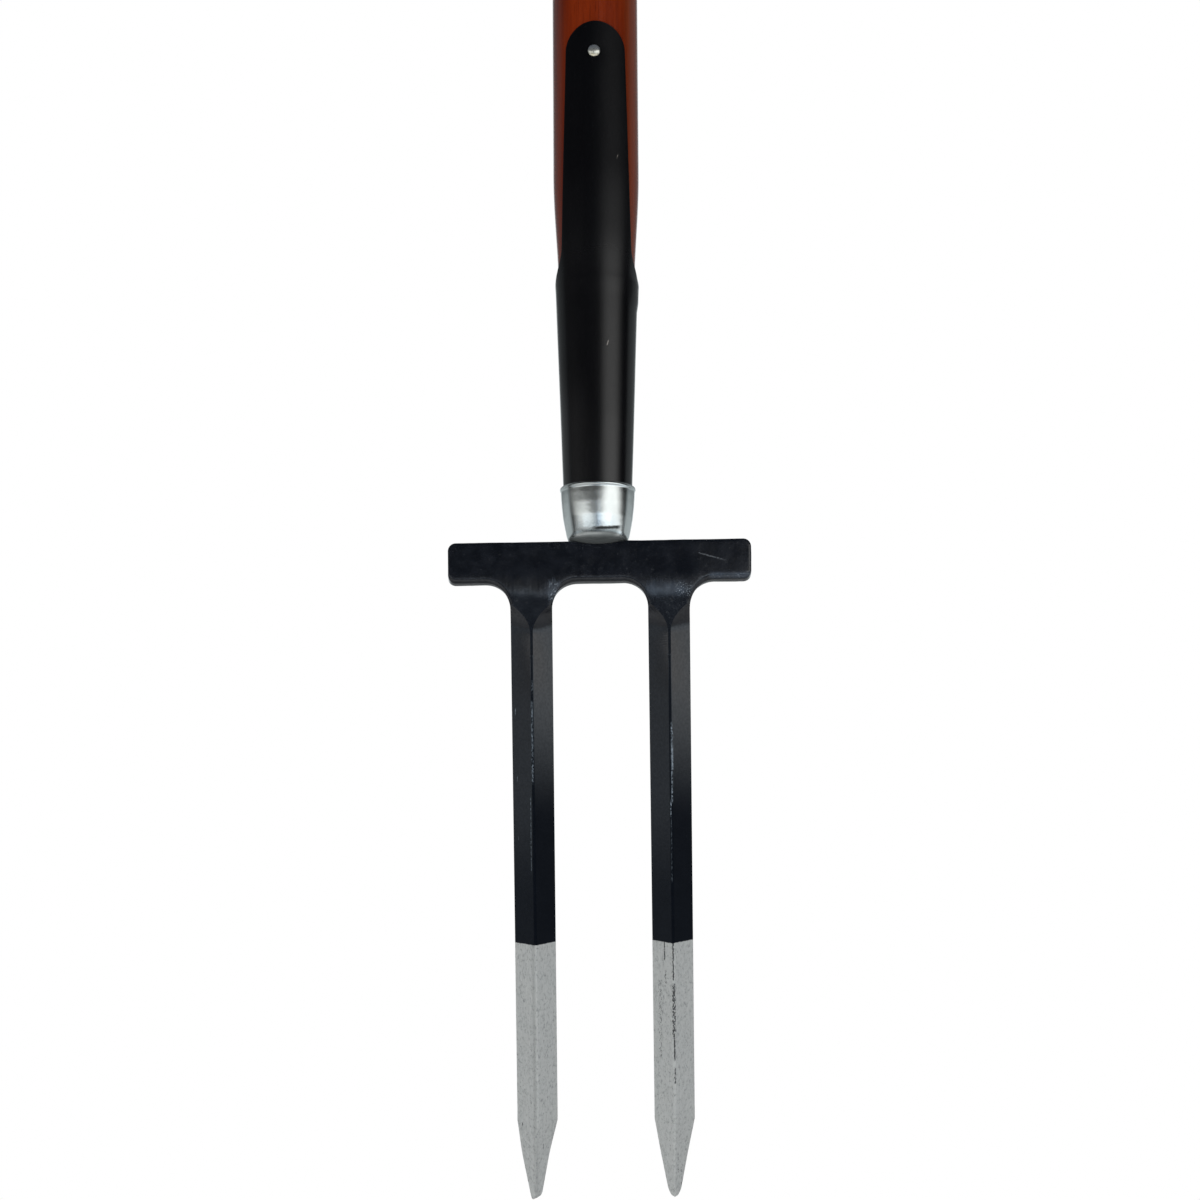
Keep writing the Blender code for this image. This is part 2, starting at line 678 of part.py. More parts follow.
def build():
    clear_scene()
    fork_head(material("forged_steel", (0.015, 0.019, 0.026), 0.35, 0.2))
    ferrule(material("bright_zinc", (0.62, 0.66, 0.66), 0.22, 1.0))
    shaft(material("stained_shaft", (0.24, 0.035, 0.010), 0.35, 0.0))
    strap("front_strap", -1, material("front_black", (0.012, 0.012, 0.015), 0.45, 0.0))
    strap("back_strap", 1, material("back_black", (0.012, 0.012, 0.015), 0.45, 0.0))
    strap_rivet(material("rivet_zinc", (0.60, 0.62, 0.62), 0.25, 1.0))
    grip_yoke(material("yoke_black", (0.012, 0.012, 0.015), 0.40, 0.0))
    for name, z in yoke_rivets():
        yoke_rivet(name, z, material(f"{name}_steel", (0.50, 0.52, 0.52), 0.3, 1.0))
    grip(material("stained_grip", (0.24, 0.035, 0.010), 0.35, 0.0))
    for name, side in (("grip_washer_left", -1), ("grip_washer_right", 1)):
        washer(name, side, material(f"{name}_steel", (0.55, 0.57, 0.57), 0.3, 1.0))
    grip_rod(material("rod_steel", (0.50, 0.52, 0.52), 0.3, 1.0))


build()
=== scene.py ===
"""Border fork: fine pieces, materials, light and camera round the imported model."""

import math

import bmesh
import bpy
import numpy as np
from mathutils import Matrix, Vector, noise
from mathutils.geometry import delaunay_2d_cdt


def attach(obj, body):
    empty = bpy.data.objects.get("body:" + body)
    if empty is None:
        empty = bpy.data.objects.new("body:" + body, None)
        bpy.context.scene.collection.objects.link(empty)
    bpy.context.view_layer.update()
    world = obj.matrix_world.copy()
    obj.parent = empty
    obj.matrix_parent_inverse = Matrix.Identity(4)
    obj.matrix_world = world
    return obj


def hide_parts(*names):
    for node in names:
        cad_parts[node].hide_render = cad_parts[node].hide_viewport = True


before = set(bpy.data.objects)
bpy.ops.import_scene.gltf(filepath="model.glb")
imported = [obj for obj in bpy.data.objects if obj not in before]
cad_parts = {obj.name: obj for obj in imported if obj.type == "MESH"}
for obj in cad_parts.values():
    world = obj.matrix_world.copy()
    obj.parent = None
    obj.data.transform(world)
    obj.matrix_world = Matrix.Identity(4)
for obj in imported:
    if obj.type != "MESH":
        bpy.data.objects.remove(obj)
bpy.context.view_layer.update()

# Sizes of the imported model, in metres

CLEAR = 0.0003
MM = 0.001

BAR_LENGTH = 0.1256
BAR_HEIGHT = 0.0167
BAR_THICKNESS = 0.0105
BAR_CORNER = 0.0033

TINE_SPACING = 0.0570
TINE_ACROSS = 0.0173
TINE_LOW_ACROSS = 0.0166
TINE_DEPTH = 0.0126
TINE_LENGTH = 0.2560
TINE_CRANK = math.radians(13.0)
TINE_BEND_RADIUS = 0.044
TINE_RIDGE = 0.0011
ROOT_FILLET = 0.0104
SWELL_START = 0.0085
ROOT_SWELL = 0.040
FLAME_START = 0.0081
FLAME_LENGTH = 0.0125
FLAME_END = 0.030
EDGE_ZONE = 0.0115
BEND_LEAD = 0.003
TIP_LEAN = (0.0009, 0.0003)
POINT_LENGTH = 0.033
POINT_END = 0.0040
NOSE_LENGTH = 0.0048
SLANT_START = 0.2536
SLANTED_TIP = ((-0.0019, 0.2545), (-0.0004, 0.2554), (0.0013, 0.2562), (0.0019, 0.2559))
PAINT_LINE = 0.1470
PAINT_SLANT = math.radians(21.6)
HEAD_TURN = math.radians(0.35)
HEAD_TURN_Z = 0.1
BAR_LEAN = 0.005

FERRULE_BOTTOM = 0.0149
FERRULE_RIM = 0.0398
FERRULE_WALL = 0.0008
FERRULE_DOME = 0.033
NECK_RADIUS = 0.0047

SHAFT_RADIUS = 0.0180
MOUTH_RADIUS = 0.01575
RIM_RADIUS = 0.01285
FOOT_RADIUS = 0.01205
SHAFT_BOTTOM = 0.0197
SHAFT_TOP = 0.668
SHOULDER_FOOT = 0.1206
SHOULDER_LENGTH = 0.055

STRAP_WALL = 0.0012
STRAP_BOTTOM = 0.0298
SOCKET_TOP = 0.1266
SOCKET_FLARE = 0.0140
STRAP_TOP = 0.2375
STRAP_FOOT_WIDTH = 0.0300
STRAP_HEAD_WIDTH = 0.0250
STRAP_RIVET_Z = 0.2242

COLLAR_TOP = 0.669
COLLAR_BOTTOM = 0.613
COLLAR_WALL = 0.0016
ARM_WALL = 0.0024
ARM_START = SHAFT_RADIUS + CLEAR + 0.0004 + ARM_WALL / 2
ARM_FOOT = 0.653
ARM_LEAVES = 0.6626
ARM_ENDS = 0.7165
ARM_FOOT_WIDTH = 0.027
ARM_WAIST_WIDTH = 0.017
EYE_X = 0.0505
EYE_RADIUS = 0.0125
YOKE_RIVET_HEIGHTS = (0.626, 0.656)

GRIP_Z = 0.734
GRIP_HALF = 0.049
GRIP_RADIUS = 0.016
GRIP_END_RADIUS = 0.0135
GRIP_END_ROUND = 0.003
ROD_RADIUS = 0.0035
ROD_HEAD_RADIUS = 0.006
WASHER_RADIUS = 0.00825
WASHER_THICKNESS = 0.0014

# Studio, and the camera as it was fitted to the photograph

FLOOR_Z = -0.9
LAMP_SIZE = 0.9
CAMERA_DISTANCE = 1.740
CAMERA_AIM = (0.00064, 0.0, -0.00737)
CAMERA_TILT = math.radians(11.37)
CAMERA_ROLL = math.radians(0.34)
CAMERA_VIEW = math.radians(16.25)
CAMERA_SENSOR = 36.0


# Small tools

def blend(start, end, share):
    return start + (end - start) * share


def smooth_step(value):
    held = np.clip(value, 0.0, 1.0)
    return held * held * (3.0 - 2.0 * held)


def new_object(name, bm):
    """Put a bmesh into the scene as an object of its own."""
    mesh = bpy.data.meshes.new(name)
    bm.to_mesh(mesh)
    bm.free()
    made = bpy.data.objects.new(name, mesh)
    bpy.context.scene.collection.objects.link(made)
    return made


def dress(piece, node, finish, sharp):
    """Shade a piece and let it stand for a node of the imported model."""
    piece.data.shade_smooth()
    piece.data.set_sharp_from_angle(angle=math.radians(sharp))
    piece.data.materials.clear()
    piece.data.materials.append(finish)
    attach(piece, "root")
    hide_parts(node)
    return piece


def add_piece(name, bm, node, finish, sharp=40.0):
    return dress(new_object(name, bm), node, finish, sharp)


def keep_result(piece):
    """Replace a piece's mesh by the result of its modifiers."""
    graph = bpy.context.evaluated_depsgraph_get()
    mesh = bpy.data.meshes.new_from_object(piece.evaluated_get(graph))
    piece.modifiers.clear()
    piece.data = mesh


def combine(piece, tool, operation):
    """Cut a tool out of a piece or join it on."""
    step = piece.modifiers.new("combine", "BOOLEAN")
    step.operation = operation
    step.solver = "EXACT"
    step.object = tool
    keep_result(piece)
    bpy.data.objects.remove(tool, do_unlink=True)


def move_points(piece, shift):
    """Move each point of a piece by shift(point, normal)."""
    mesh = piece.data
    normals = [vertex.normal.copy() for vertex in mesh.vertices]
    for vertex, normal in zip(mesh.vertices, normals):
        vertex.co = vertex.co + shift(vertex.co, normal)
    mesh.update()


def uneven(point, across, along):
    """Noise with these many waves a metre across and along Z."""
    return noise.noise(Vector((point.x * across, point.y * across, point.z * along)))


def turned_mesh(profile, steps, axis="Z", centre=(0.0, 0.0, 0.0)):
    """Surface of revolution of a closed (radius, height) profile, or one that ends on the axis."""
    bm = bmesh.new()
    rings = []
    for radius, height in profile:
        angles = [2.0 * math.pi * i / steps for i in range(steps if radius > 0.0 else 1)]
        rings.append([bm.verts.new((radius * math.cos(angle), radius * math.sin(angle), height))
                      for angle in angles])
    pairs = list(zip(rings, rings[1:]))
    if len(rings[0]) > 1:
        pairs.append((rings[-1], rings[0]))
    for low, high in pairs:
        for i in range(steps):
            j = (i + 1) % steps
            corners = [low[i % len(low)], low[j % len(low)],
                       high[j % len(high)], high[i % len(high)]]
            kept = list(dict.fromkeys(corners))
            if len(kept) > 2:
                bm.faces.new(kept)
    bmesh.ops.recalc_face_normals(bm, faces=bm.faces)
    if axis != "Z":
        bm.transform(Matrix.Rotation(math.pi / 2, 4, "Y" if axis == "X" else "X"))
    bm.transform(Matrix.Translation(centre))
    return bm


def capped_tube(bm, rings):
    """Faces round rows of vertices, closed at both ends."""
    count = len(rings[0])
    for low, high in zip(rings, rings[1:]):
        for i in range(count):
            j = (i + 1) % count
            bm.faces.new((low[i], low[j], high[j], high[i]))
    bm.faces.new(rings[0][::-1])
    bm.faces.new(rings[-1])


def rounded(profile, reach, steps=4):
    """Round every corner of a closed profile by a curve of this reach."""
    made = []
    count = len(profile)
    for i, point in enumerate(profile):
        here = Vector(point)
        before = Vector(profile[(i - 1) % count]) - here
        after = Vector(profile[(i + 1) % count]) - here
        cut = min(reach, before.length * 0.45, after.length * 0.45)
        first = here + before.normalized() * cut
        last = here + after.normalized() * cut
        for step in range(steps + 1):
            t = step / steps
            spot = (1 - t) ** 2 * first + 2 * t * (1 - t) * here + t * t * last
            made.append((spot.x, spot.y))
    return made


# Fork head: drawn flat, with x across and s down from the crossbar's underside, then thickened
# and bent

def point_share(left, side):
    """What is left of the tine's width this far from its tip; the right tip is a rounder nose."""
    end = POINT_END / TINE_LOW_ACROSS
    straight = np.clip(left / POINT_LENGTH, 0.0, 1.0)
    share = blend(end, 1.0, straight)
    if side > 0:
        nose = np.clip(left / NOSE_LENGTH, 0.0, 1.0)
        share = share * (0.10 + 0.90 * np.sqrt(1.0 - (1.0 - nose) ** 2))
    return share


def tine_sizes(s, side):
    """Half width, half depth and the half widths of the front and side flats at s."""
    s = np.asarray(s, float)
    across = blend(TINE_ACROSS, TINE_LOW_ACROSS, np.maximum(s, 0.0) / TINE_LENGTH) / 2
    left = np.clip(ROOT_FILLET - s, 0.0, ROOT_FILLET)
    width = across + ROOT_FILLET - np.sqrt(ROOT_FILLET**2 - left**2)
    plate = BAR_THICKNESS / 2
    swell = smooth_step((s - SWELL_START) / ROOT_SWELL)
    depth = blend(plate, across * TINE_DEPTH / TINE_ACROSS, swell)
    fade = np.clip(1.0 - (s - FLAME_START) / FLAME_LENGTH, 0.0, 1.0)
    ridge = TINE_RIDGE / 2
    front = np.minimum(width - 0.0009, ridge + (width - ridge) * fade**2.1)
    flat = np.minimum(depth - 0.0009, ridge + (plate - ridge) * fade**3)
    share = point_share(TINE_LENGTH - s, side)
    return width * share, depth * share, front * share, flat * share


def arc(centre, radius, start, end, steps, hollow=False):
    """Points of an arc in the flat drawing, each with its outward normal."""
    made = []
    for i in range(steps + 1):
        angle = math.radians(blend(start, end, i / steps))
        c, q = math.cos(angle), math.sin(angle)
        sign = -1.0 if hollow else 1.0
        made.append((centre[0] + radius * c, centre[1] + radius * q, sign * c, sign * q))
    return made


def half_outline(side):
    """Outline of one half of the head from the middle of the underside round to the top."""
    half = TINE_SPACING / 2
    root = half - TINE_ACROSS / 2 - ROOT_FILLET
    far = half + TINE_ACROSS / 2 + ROOT_FILLET
    points = [(root * i / 14, 0.0, 0.0, 1.0) for i in range(14)]
    points += arc((root, ROOT_FILLET), ROOT_FILLET, -90, 0, 30, hollow=True)
    down = list(np.arange(ROOT_FILLET + 0.001, 0.030, 0.001)) + list(np.arange(0.030, 0.222, 0.003))
    down += list(np.arange(0.223, 0.2465, 0.0015))
    down += list(np.arange(0.2475, 0.2556 if side > 0 else 0.2552, 0.0007))
    inner = [(-float(tine_sizes(s, side)[0]), s, -1.0, 0.0) for s in down]
    outer = [(float(tine_sizes(s, side)[0]), s, 1.0, 0.0) for s in reversed(down)]
    if side < 0:
        inner = [row for row in inner if row[1] < SLANT_START]
        tip = [(u, s, 0.0, 1.0) for u, s in SLANTED_TIP]
    else:
        tip = [(0.0, TINE_LENGTH, 0.0, 1.0)]
    points += [(half + u, s, nx, ns) for u, s, nx, ns in inner + tip + outer]
    points += arc((far, ROOT_FILLET), ROOT_FILLET, 180, 270, 30, hollow=True)
    end = BAR_LENGTH / 2
    corner = BAR_CORNER
    points += [(blend(far, end - corner, i / 12), 0.0, 0.0, 1.0) for i in range(1, 12)]
    points += arc((end - corner, -corner), corner, 90, 0, 10)
    top = BAR_HEIGHT - corner
    points += [(end, -blend(corner, top, i / 10), 1.0, 0.0) for i in range(1, 10)]
    points += arc((end - corner, -top), corner, 0, -90, 10)
    points += [(blend(end - corner, 0.0, i / 70), -BAR_HEIGHT, 0.0, -1.0) for i in range(1, 71)]
    return points


def whole_outline():
    right = half_outline(1)
    left = [(-x, s, -nx, ns) for x, s, nx, ns in half_outline(-1)]
    return right + left[::-1][1:-1]


def edge_round(outline):
    """How far the crossbar's edges are rounded: most along the underside, least along the top."""
    x, s, nx, ns = outline.T
    size = 0.0011 + 0.0008 * np.clip(ns, 0.0, 1.0) - 0.0004 * np.clip(-ns, 0.0, 1.0)
    return blend(size, 0.0004, smooth_step((s - 0.003) / 0.008))


def flame_lines():
    """The two edges of each tine's flame, as rows of points that the mesh must follow."""
    lines = []
    for side in (-1, 1):
        for edge in (-1, 1):
            rows = np.arange(FLAME_START + 0.0006, FLAME_END, 0.0004)
            front = tine_sizes(rows, side)[2]
            lines.append(np.stack([side * TINE_SPACING / 2 + edge * front, rows], axis=1))
    return lines


def flat_points(outline, rounds):
    """All the points that the flat drawing is meshed through."""
    loops = []
    near = outline[:, 1] < EDGE_ZONE
    for share in (0.05, 0.18, 0.38, 0.65, 1.0):
        reach = (share * rounds)[near]
        loops.append(outline[near][:, :2] - outline[near][:, 2:] * reach[:, None])
    edge_points = np.concatenate(loops)
    bar = np.array([(x, s) for x in np.arange(-0.0620, 0.0621, 0.0009)
                    for s in np.arange(-0.0160, 0.0, 0.0009)])
    ridge = TINE_RIDGE / TINE_ACROSS
    shares = [ridge * k for k in (0.0, 0.6, 0.9, 1.15, 1.6)] + [0.33, 0.5, 0.68, 0.84, 0.93]
    rows = list(np.arange(0.0302, 0.222, 0.003)) + list(np.arange(0.2225, 0.2535, 0.0015))
    inside = []
    for side in (-1, 1):
        centre = side * TINE_SPACING / 2
        for s in np.arange(0.0, FLAME_END, 0.0006):
            width, _, front, _ = (float(v) for v in tine_sizes(s, side))
            count = max(int(width / 0.0006), 4)
            row = [width * (2.0 * i / count - 1.0) for i in range(1, count)]
            if s > FLAME_START:
                row = [u for u in row if abs(abs(u) - front) > 0.00035]
            inside += [(centre + u, s) for u in row if abs(u) < width - 0.0002]
        for s in rows:
            width = float(tine_sizes(s, side)[0])
            for share in shares:
                inside += [(centre + width * share, s), (centre - width * share, s)]
    inside = np.unique(np.round(np.array(inside), 7), axis=0)
    return edge_points, np.concatenate([bar, inside])


def distance_to(points, outline):
    """Distance of each point to the outline, and the row of the outline it is nearest to."""
    start = outline[:, :2]
    way = np.roll(start, -1, axis=0) - start
    length = np.maximum((way**2).sum(1), 1e-16)
    best = np.full(len(points), 1e9)
    nearest = np.zeros(len(points), int)
    for first in range(0, len(points), 2000):
        part = points[first:first + 2000]
        apart = part[:, None, :] - start[None]
        share = np.clip((apart * way[None]).sum(2) / length[None], 0.0, 1.0)
        gap = np.linalg.norm(apart - way[None] * share[..., None], axis=2)
        nearest[first:first + 2000] = gap.argmin(1)
        best[first:first + 2000] = gap.min(1)
    return best, nearest


def half_thickness(points, distance, rounds):
    """Half the head's thickness at points of the flat drawing."""
    x, s = points.T
    made = np.zeros(len(points))
    for side in (-1, 1):
        mine = (x > 0) == (side > 0)
        u = np.abs(np.abs(x[mine]) - TINE_SPACING / 2)
        width, depth, front, flat = tine_sizes(s[mine], side)
        slope = (depth - flat) / np.maximum(width - front, 1e-6)
        facet = depth - slope * np.maximum(u - front, 0.0)
        facet = np.where(s[mine] > 0.0, facet, depth)
        reach = rounds[mine]
        near = np.clip(1.0 - distance[mine] / reach, 0.0, 1.0)
        edge = depth - reach + reach * np.sqrt(1.0 - near**2)
        least = np.minimum(flat, facet) * smooth_step(s[mine] / ROOT_FILLET)
        made[mine] = np.maximum(np.minimum(facet, edge), least)
        bar = s[mine] <= 0.0
        made[mine] = np.where(bar, edge, made[mine])
    return made


def bend_down(points, back):
    """Place points of the flat drawing, at a distance behind its middle plane, on the bent head.

    The bend begins a little above the crossbar's underside.
    """
    x, s = points.T
    down = np.maximum(s + BEND_LEAD, 0.0)
    angle = np.minimum(down / TINE_BEND_RADIUS, TINE_CRANK)
    straight = down - TINE_BEND_RADIUS * angle
    y = TINE_BEND_RADIUS * (1.0 - np.cos(angle)) + straight * np.sin(angle)
    z = BEND_LEAD - TINE_BEND_RADIUS * np.sin(angle) - straight * np.cos(angle)
    z = z + np.maximum(-s - BEND_LEAD, 0.0)
    return np.stack([x, y + back * np.cos(angle), z + back * np.sin(angle)], axis=1)


def turned_head(points):
    """The head sits a third of a degree askew on its neck, and its crossbar a little more."""
    points[:, 2] += BAR_LEAN * points[:, 0] * smooth_step((points[:, 2] + 0.030) / 0.030)
    c, q = math.cos(HEAD_TURN), math.sin(HEAD_TURN)
    x, z = points[:, 0].copy(), points[:, 2] - HEAD_TURN_Z
    points[:, 0] = c * x - q * z
    points[:, 2] = q * x + c * z + HEAD_TURN_Z
    points[:, 0] -= np.where(x < 0.0, *TIP_LEAN) * smooth_step((-0.215 - points[:, 2]) / 0.018)
    return points


def forged_head(finish):
    outline = np.array(whole_outline())
    rounds = edge_round(outline)
    edge_points, inner = flat_points(outline, rounds)
    apart, nearest = distance_to(inner, outline)
    keep = apart > np.where(inner[:, 1] < EDGE_ZONE, rounds[nearest] * 1.15 + 0.0002, 0.0002)
    lines = flame_lines()
    every = np.concatenate([outline[:, :2]] + lines + [edge_points, inner[keep]])
    count = len(outline)
    edges = [(i, (i + 1) % count) for i in range(count)]
    first = count
    for line in lines:
        edges += [(first + i, first + i + 1) for i in range(len(line) - 1)]
        first += len(line)
    flat, _, faces, _, _, _ = delaunay_2d_cdt([Vector(p) for p in every], edges, [], 1, 1e-7)
    points = np.array([tuple(v) for v in flat])
    apart, nearest = distance_to(points, outline)
    thick = half_thickness(points, apart, rounds[nearest])
    front = turned_head(bend_down(points, -thick))
    back = turned_head(bend_down(points, thick))
    bm = bmesh.new()
    fronts = [bm.verts.new(p) for p in front]
    backs = [bm.verts.new(p) for p in back]
    for face in faces:
        bm.faces.new([fronts[i] for i in face])
        bm.faces.new([backs[i] for i in reversed(face)])
    bm.verts.index_update()
    rim = [edge for edge in bm.edges if edge.is_boundary and edge.verts[0].index < len(fronts)]
    for edge in rim:
        a, b = (v.index for v in edge.verts)
        bm.faces.new((fronts[a], fronts[b], backs[b], backs[a]))
    bmesh.ops.recalc_face_normals(bm, faces=bm.faces)
    return add_piece("forged_head", bm, "fork_head", finish, sharp=31.0)


def dome(floor, start, end):
    """Part of the ferrule's shallow dome, from one radius to another."""
    radii = [blend(start, end, i / 8) for i in range(9)]
    return [(radius, floor + radius**2 / (2.0 * FERRULE_DOME)) for radius in radii]


def ferrule_seat():
    """Cutter for the hollow that the ferrule's domed bottom lies in."""
    profile = dome(FERRULE_BOTTOM - CLEAR, 0.0, 0.0118)
    profile += [(0.0131, 0.0176), (0.0136, 0.0200), (0.0136, 0.0250), (0.0, 0.0250)]
    return new_object("seat_cutter", turned_mesh(profile, 96))


def forging_marks(point, normal):
    """Slight unevenness from the hammer, strongest on the crossbar and at the roots."""
    strong = 1.0 - float(smooth_step((-point.z - 0.004) / 0.020))
    coarse = noise.noise(point * 95.0) * (0.000008 + 0.00010 * strong)
    fine = uneven(point, 420.0, 260.0)
    return normal * (coarse + fine * (0.000002 + 0.00003 * strong))


def neck_and_tang(bm):
    """Round neck through the ferrule and the square tang in the wood, joined to the head."""
    rings = []
    for half, z in ((0.0043, 0.0110), (0.0043, 0.0157), (0.0039, 0.0162), (0.0020, 0.0957)):
        flat = half * 0.70
        spots = [(half, flat), (flat, half), (-flat, half), (-half, flat),
                 (-half, -flat), (-flat, -half), (flat, -half), (half, -flat)]
        rings.append([bm.verts.new((x, y, z)) for x, y in spots])
    capped_tube(bm, rings)


def fork_head(finish):
    piece = forged_head(finish)
    combine(piece, ferrule_seat(), "DIFFERENCE")
    move_points(piece, forging_marks)
    bm = bmesh.new()
    bm.from_mesh(piece.data)
    neck_and_tang(bm)
    bm.to_mesh(piece.data)
    bm.free()
    return piece


# Ferrule

def ferrule_wall_radius(z):
    """Outer radius of the ferrule's wall: barrel shaped, with a faint crease near its foot."""
    heights = [0.0183, 0.0195, 0.0207, 0.0215, 0.0235, 0.0264, 0.0319, 0.0360, 0.0384]
    radii = [0.01270, 0.01307, 0.01330, 0.01346, 0.01385, 0.01436, 0.01500, 0.01532, 0.01542]
    return float(np.interp(z, heights, radii))


def ferrule_room(z):
    """Largest radius that fits inside the ferrule."""
    return ferrule_wall_radius(z) - FERRULE_WALL - CLEAR


def ferrule(finish):
    hole = NECK_RADIUS + CLEAR
    outer = dome(FERRULE_BOTTOM, hole, 0.0106)
    outer += [(0.01145, 0.01700), (0.01205, 0.01742), (0.01248, 0.01790)]
    outer += [(ferrule_wall_radius(z), z) for z in np.linspace(0.0184, 0.0382, 34)]
    bead = [(0.01557, 0.0385), (0.01572, 0.0389), (0.01574, 0.0393), (0.01562, 0.0397),
            (0.01535, 0.03985)]
    inner = [(0.01500, 0.0396), (0.01470, 0.0392)]
    inner += [(ferrule_wall_radius(z) - FERRULE_WALL, z) for z in np.linspace(0.0385, 0.0200, 8)]
    inner += [(0.0112, 0.0180), (hole, 0.0162)]
    bm = turned_mesh(outer + bead + inner, 144)
    piece = add_piece("ferrule_cup", bm, "ferrule", finish, sharp=60.0)
    move_points(piece, ferrule_dents)
    return piece


def ferrule_dents(point, normal):
    """Press marks: a shallow flat at the front left and faint long waves in the sheet."""
    if point.xy.length < 0.0122:
        return Vector()
    flat = math.exp(-(((point.x + 0.0060) / 0.0045) ** 2) - ((point.z - 0.0380) / 0.0040) ** 2)
    flat = flat if point.y < 0.0 else 0.0
    wave = uneven(point, 150.0, 90.0)
    fine = noise.noise(point * 700.0)
    return normal * (-0.00008 * flat + 0.00005 * wave + 0.000006 * fine)


# Shaft and straps

def shaft_radius(z):
    """Radius of the bare wood from the ferrule's rim up to the full thickness."""
    share = (min(z, SOCKET_TOP) - FERRULE_RIM) / (SOCKET_TOP - FERRULE_RIM)
    seat = blend(RIM_RADIUS, MOUTH_RADIUS, share)
    rise = float(smooth_step((z - SHOULDER_FOOT) / SHOULDER_LENGTH))
    return blend(seat, SHAFT_RADIUS, rise)


def strap_inner_radius(z):
    radius = shaft_radius(z) + CLEAR
    return min(radius, ferrule_room(z) - STRAP_WALL) if z < FERRULE_RIM else radius


def shaft(finish):
    heights = [SHAFT_BOTTOM, 0.0215, 0.0235, 0.026, 0.0285]
    heights += list(np.linspace(STRAP_BOTTOM, SHOULDER_FOOT, 14))
    heights += list(np.linspace(SHOULDER_FOOT, SHOULDER_FOOT + SHOULDER_LENGTH, 24)[1:])
    heights += list(np.linspace(0.18, SHAFT_TOP - 0.002, 60))
    profile = [(0.0, SHAFT_BOTTOM)]
    for z in heights:
        foot = z < STRAP_BOTTOM
        radius = min(ferrule_room(z), FOOT_RADIUS) if foot else strap_inner_radius(z) - CLEAR
        profile.append((radius, z))
    profile += [(SHAFT_RADIUS - 0.0006, SHAFT_TOP - 0.0006), (SHAFT_RADIUS - 0.002, SHAFT_TOP),
                (0.0, SHAFT_TOP)]
    piece = add_piece("shaft_wood", turned_mesh(profile, 120), "shaft", finish)
    move_points(piece, shaft_waves)
    return piece


def shaft_waves(point, normal):
    """The sanded shaft isn't quite round: long shallow waves, fading out under the socket."""
    free = smooth_step((point.z - 0.15) / 0.05) * smooth_step((0.600 - point.z) / 0.01)
    return Vector((normal.x, normal.y, 0.0)) * uneven(point, 60.0, 9.0) * 0.00010 * float(free)


def strap_half_width(z):
    head = STRAP_HEAD_WIDTH / 2
    centre = STRAP_TOP - head
    if z > centre:
        return math.sqrt(max(head * head - (z - centre) ** 2, 0.0))
    share = (z - SOCKET_TOP) / (centre - SOCKET_TOP)
    return blend(STRAP_FOOT_WIDTH, STRAP_HEAD_WIDTH, share) / 2


def strap_half_angle(z):
    radius = strap_inner_radius(z) + STRAP_WALL
    seam = math.pi / 2 - CLEAR / (2.0 * radius)
    if z <= SOCKET_TOP:
        return seam
    side = math.asin(min(strap_half_width(z) / radius, 1.0))
    left = max(1.0 - (z - SOCKET_TOP) / SOCKET_FLARE, 0.0)
    return blend(side, seam, left * left)


def strap_heights():
    head = STRAP_HEAD_WIDTH / 2
    rows = [STRAP_BOTTOM]
    for stop, count in ((FERRULE_RIM, 5), (SOCKET_TOP, 24), (SOCKET_TOP + SOCKET_FLARE, 20),
                        (STRAP_TOP - head, 30)):
        rows += list(np.linspace(rows[-1], stop, count)[1:])
    rows += [STRAP_TOP - head + head * math.sin(math.radians(3.6 * i)) for i in range(1, 25)]
    return rows + [STRAP_TOP - 0.000006]


def strap(name, node, side, finish):
    """Half of the socket with its strap: a curved sheet thickened outwards, with soft edges."""
    bm = bmesh.new()
    columns = 48
    grid = []
    for z in strap_heights():
        radius = strap_inner_radius(z)
        reach = strap_half_angle(z)
        row = []
        for i in range(columns + 1):
            angle = reach * (2.0 * i / columns - 1.0)
            row.append(bm.verts.new((radius * math.sin(angle), side * radius * math.cos(angle), z)))
        grid.append(row)
    for low, high in zip(grid, grid[1:]):
        for i in range(columns):
            corners = (low[i], low[i + 1], high[i + 1], high[i])
            bm.faces.new(corners if side < 0 else corners[::-1])
    piece = add_piece(name, bm, node, finish)
    shell = piece.modifiers.new("wall", "SOLIDIFY")
    shell.thickness = STRAP_WALL
    shell.offset = 1.0
    soft = piece.modifiers.new("soft_edges", "BEVEL")
    soft.width = 0.0004
    soft.segments = 3
    soft.limit_method = "ANGLE"
    soft.angle_limit = math.radians(50.0)
    keep_result(piece)
    move_points(piece, lambda point, normal: strap_dents(point, normal, side))
    piece.data.shade_smooth()
    return piece


def strap_dents(point, normal, side):
    """The sheet is drawn in a little round the rivet, and the front mouth stands proud."""
    apart = math.hypot(point.x, point.z - STRAP_RIVET_Z)
    dimple = -0.00022 * math.exp(-((apart / 0.0036) ** 2))
    wave = 0.00006 * uneven(point, 50.0, 22.0)
    outward = Vector((point.x, point.y, 0.0)).normalized()
    edge = 0.0
    if side < 0 and point.x > 0.0:
        edge = float(smooth_step((point.x - 0.0135) / 0.003)
                     * smooth_step((point.z - 0.1168) / 0.0006)
                     * smooth_step((0.1300 - point.z) / 0.004))
    return outward * (dimple + wave + 0.00045 * edge)


def rivet(name, node, finish, sizes, centre, axis):
    """A shank with a domed head at both ends.

    The sizes are the radii of shank and head, the dome's height and half the shank's length.
    """
    shank, head, rise, half = sizes
    angles = [math.radians(7.5 * i) for i in range(13)]
    side = [(head * math.sin(angle), half + rise * math.cos(angle)) for angle in angles]
    side += [(head * 0.985, half), (shank, half)]
    profile = side + [(radius, -height) for radius, height in reversed(side)]
    bm = turned_mesh(profile, 48, axis, centre)
    return add_piece(name, bm, node, finish, sharp=45.0)


# Yoke, grip, rod

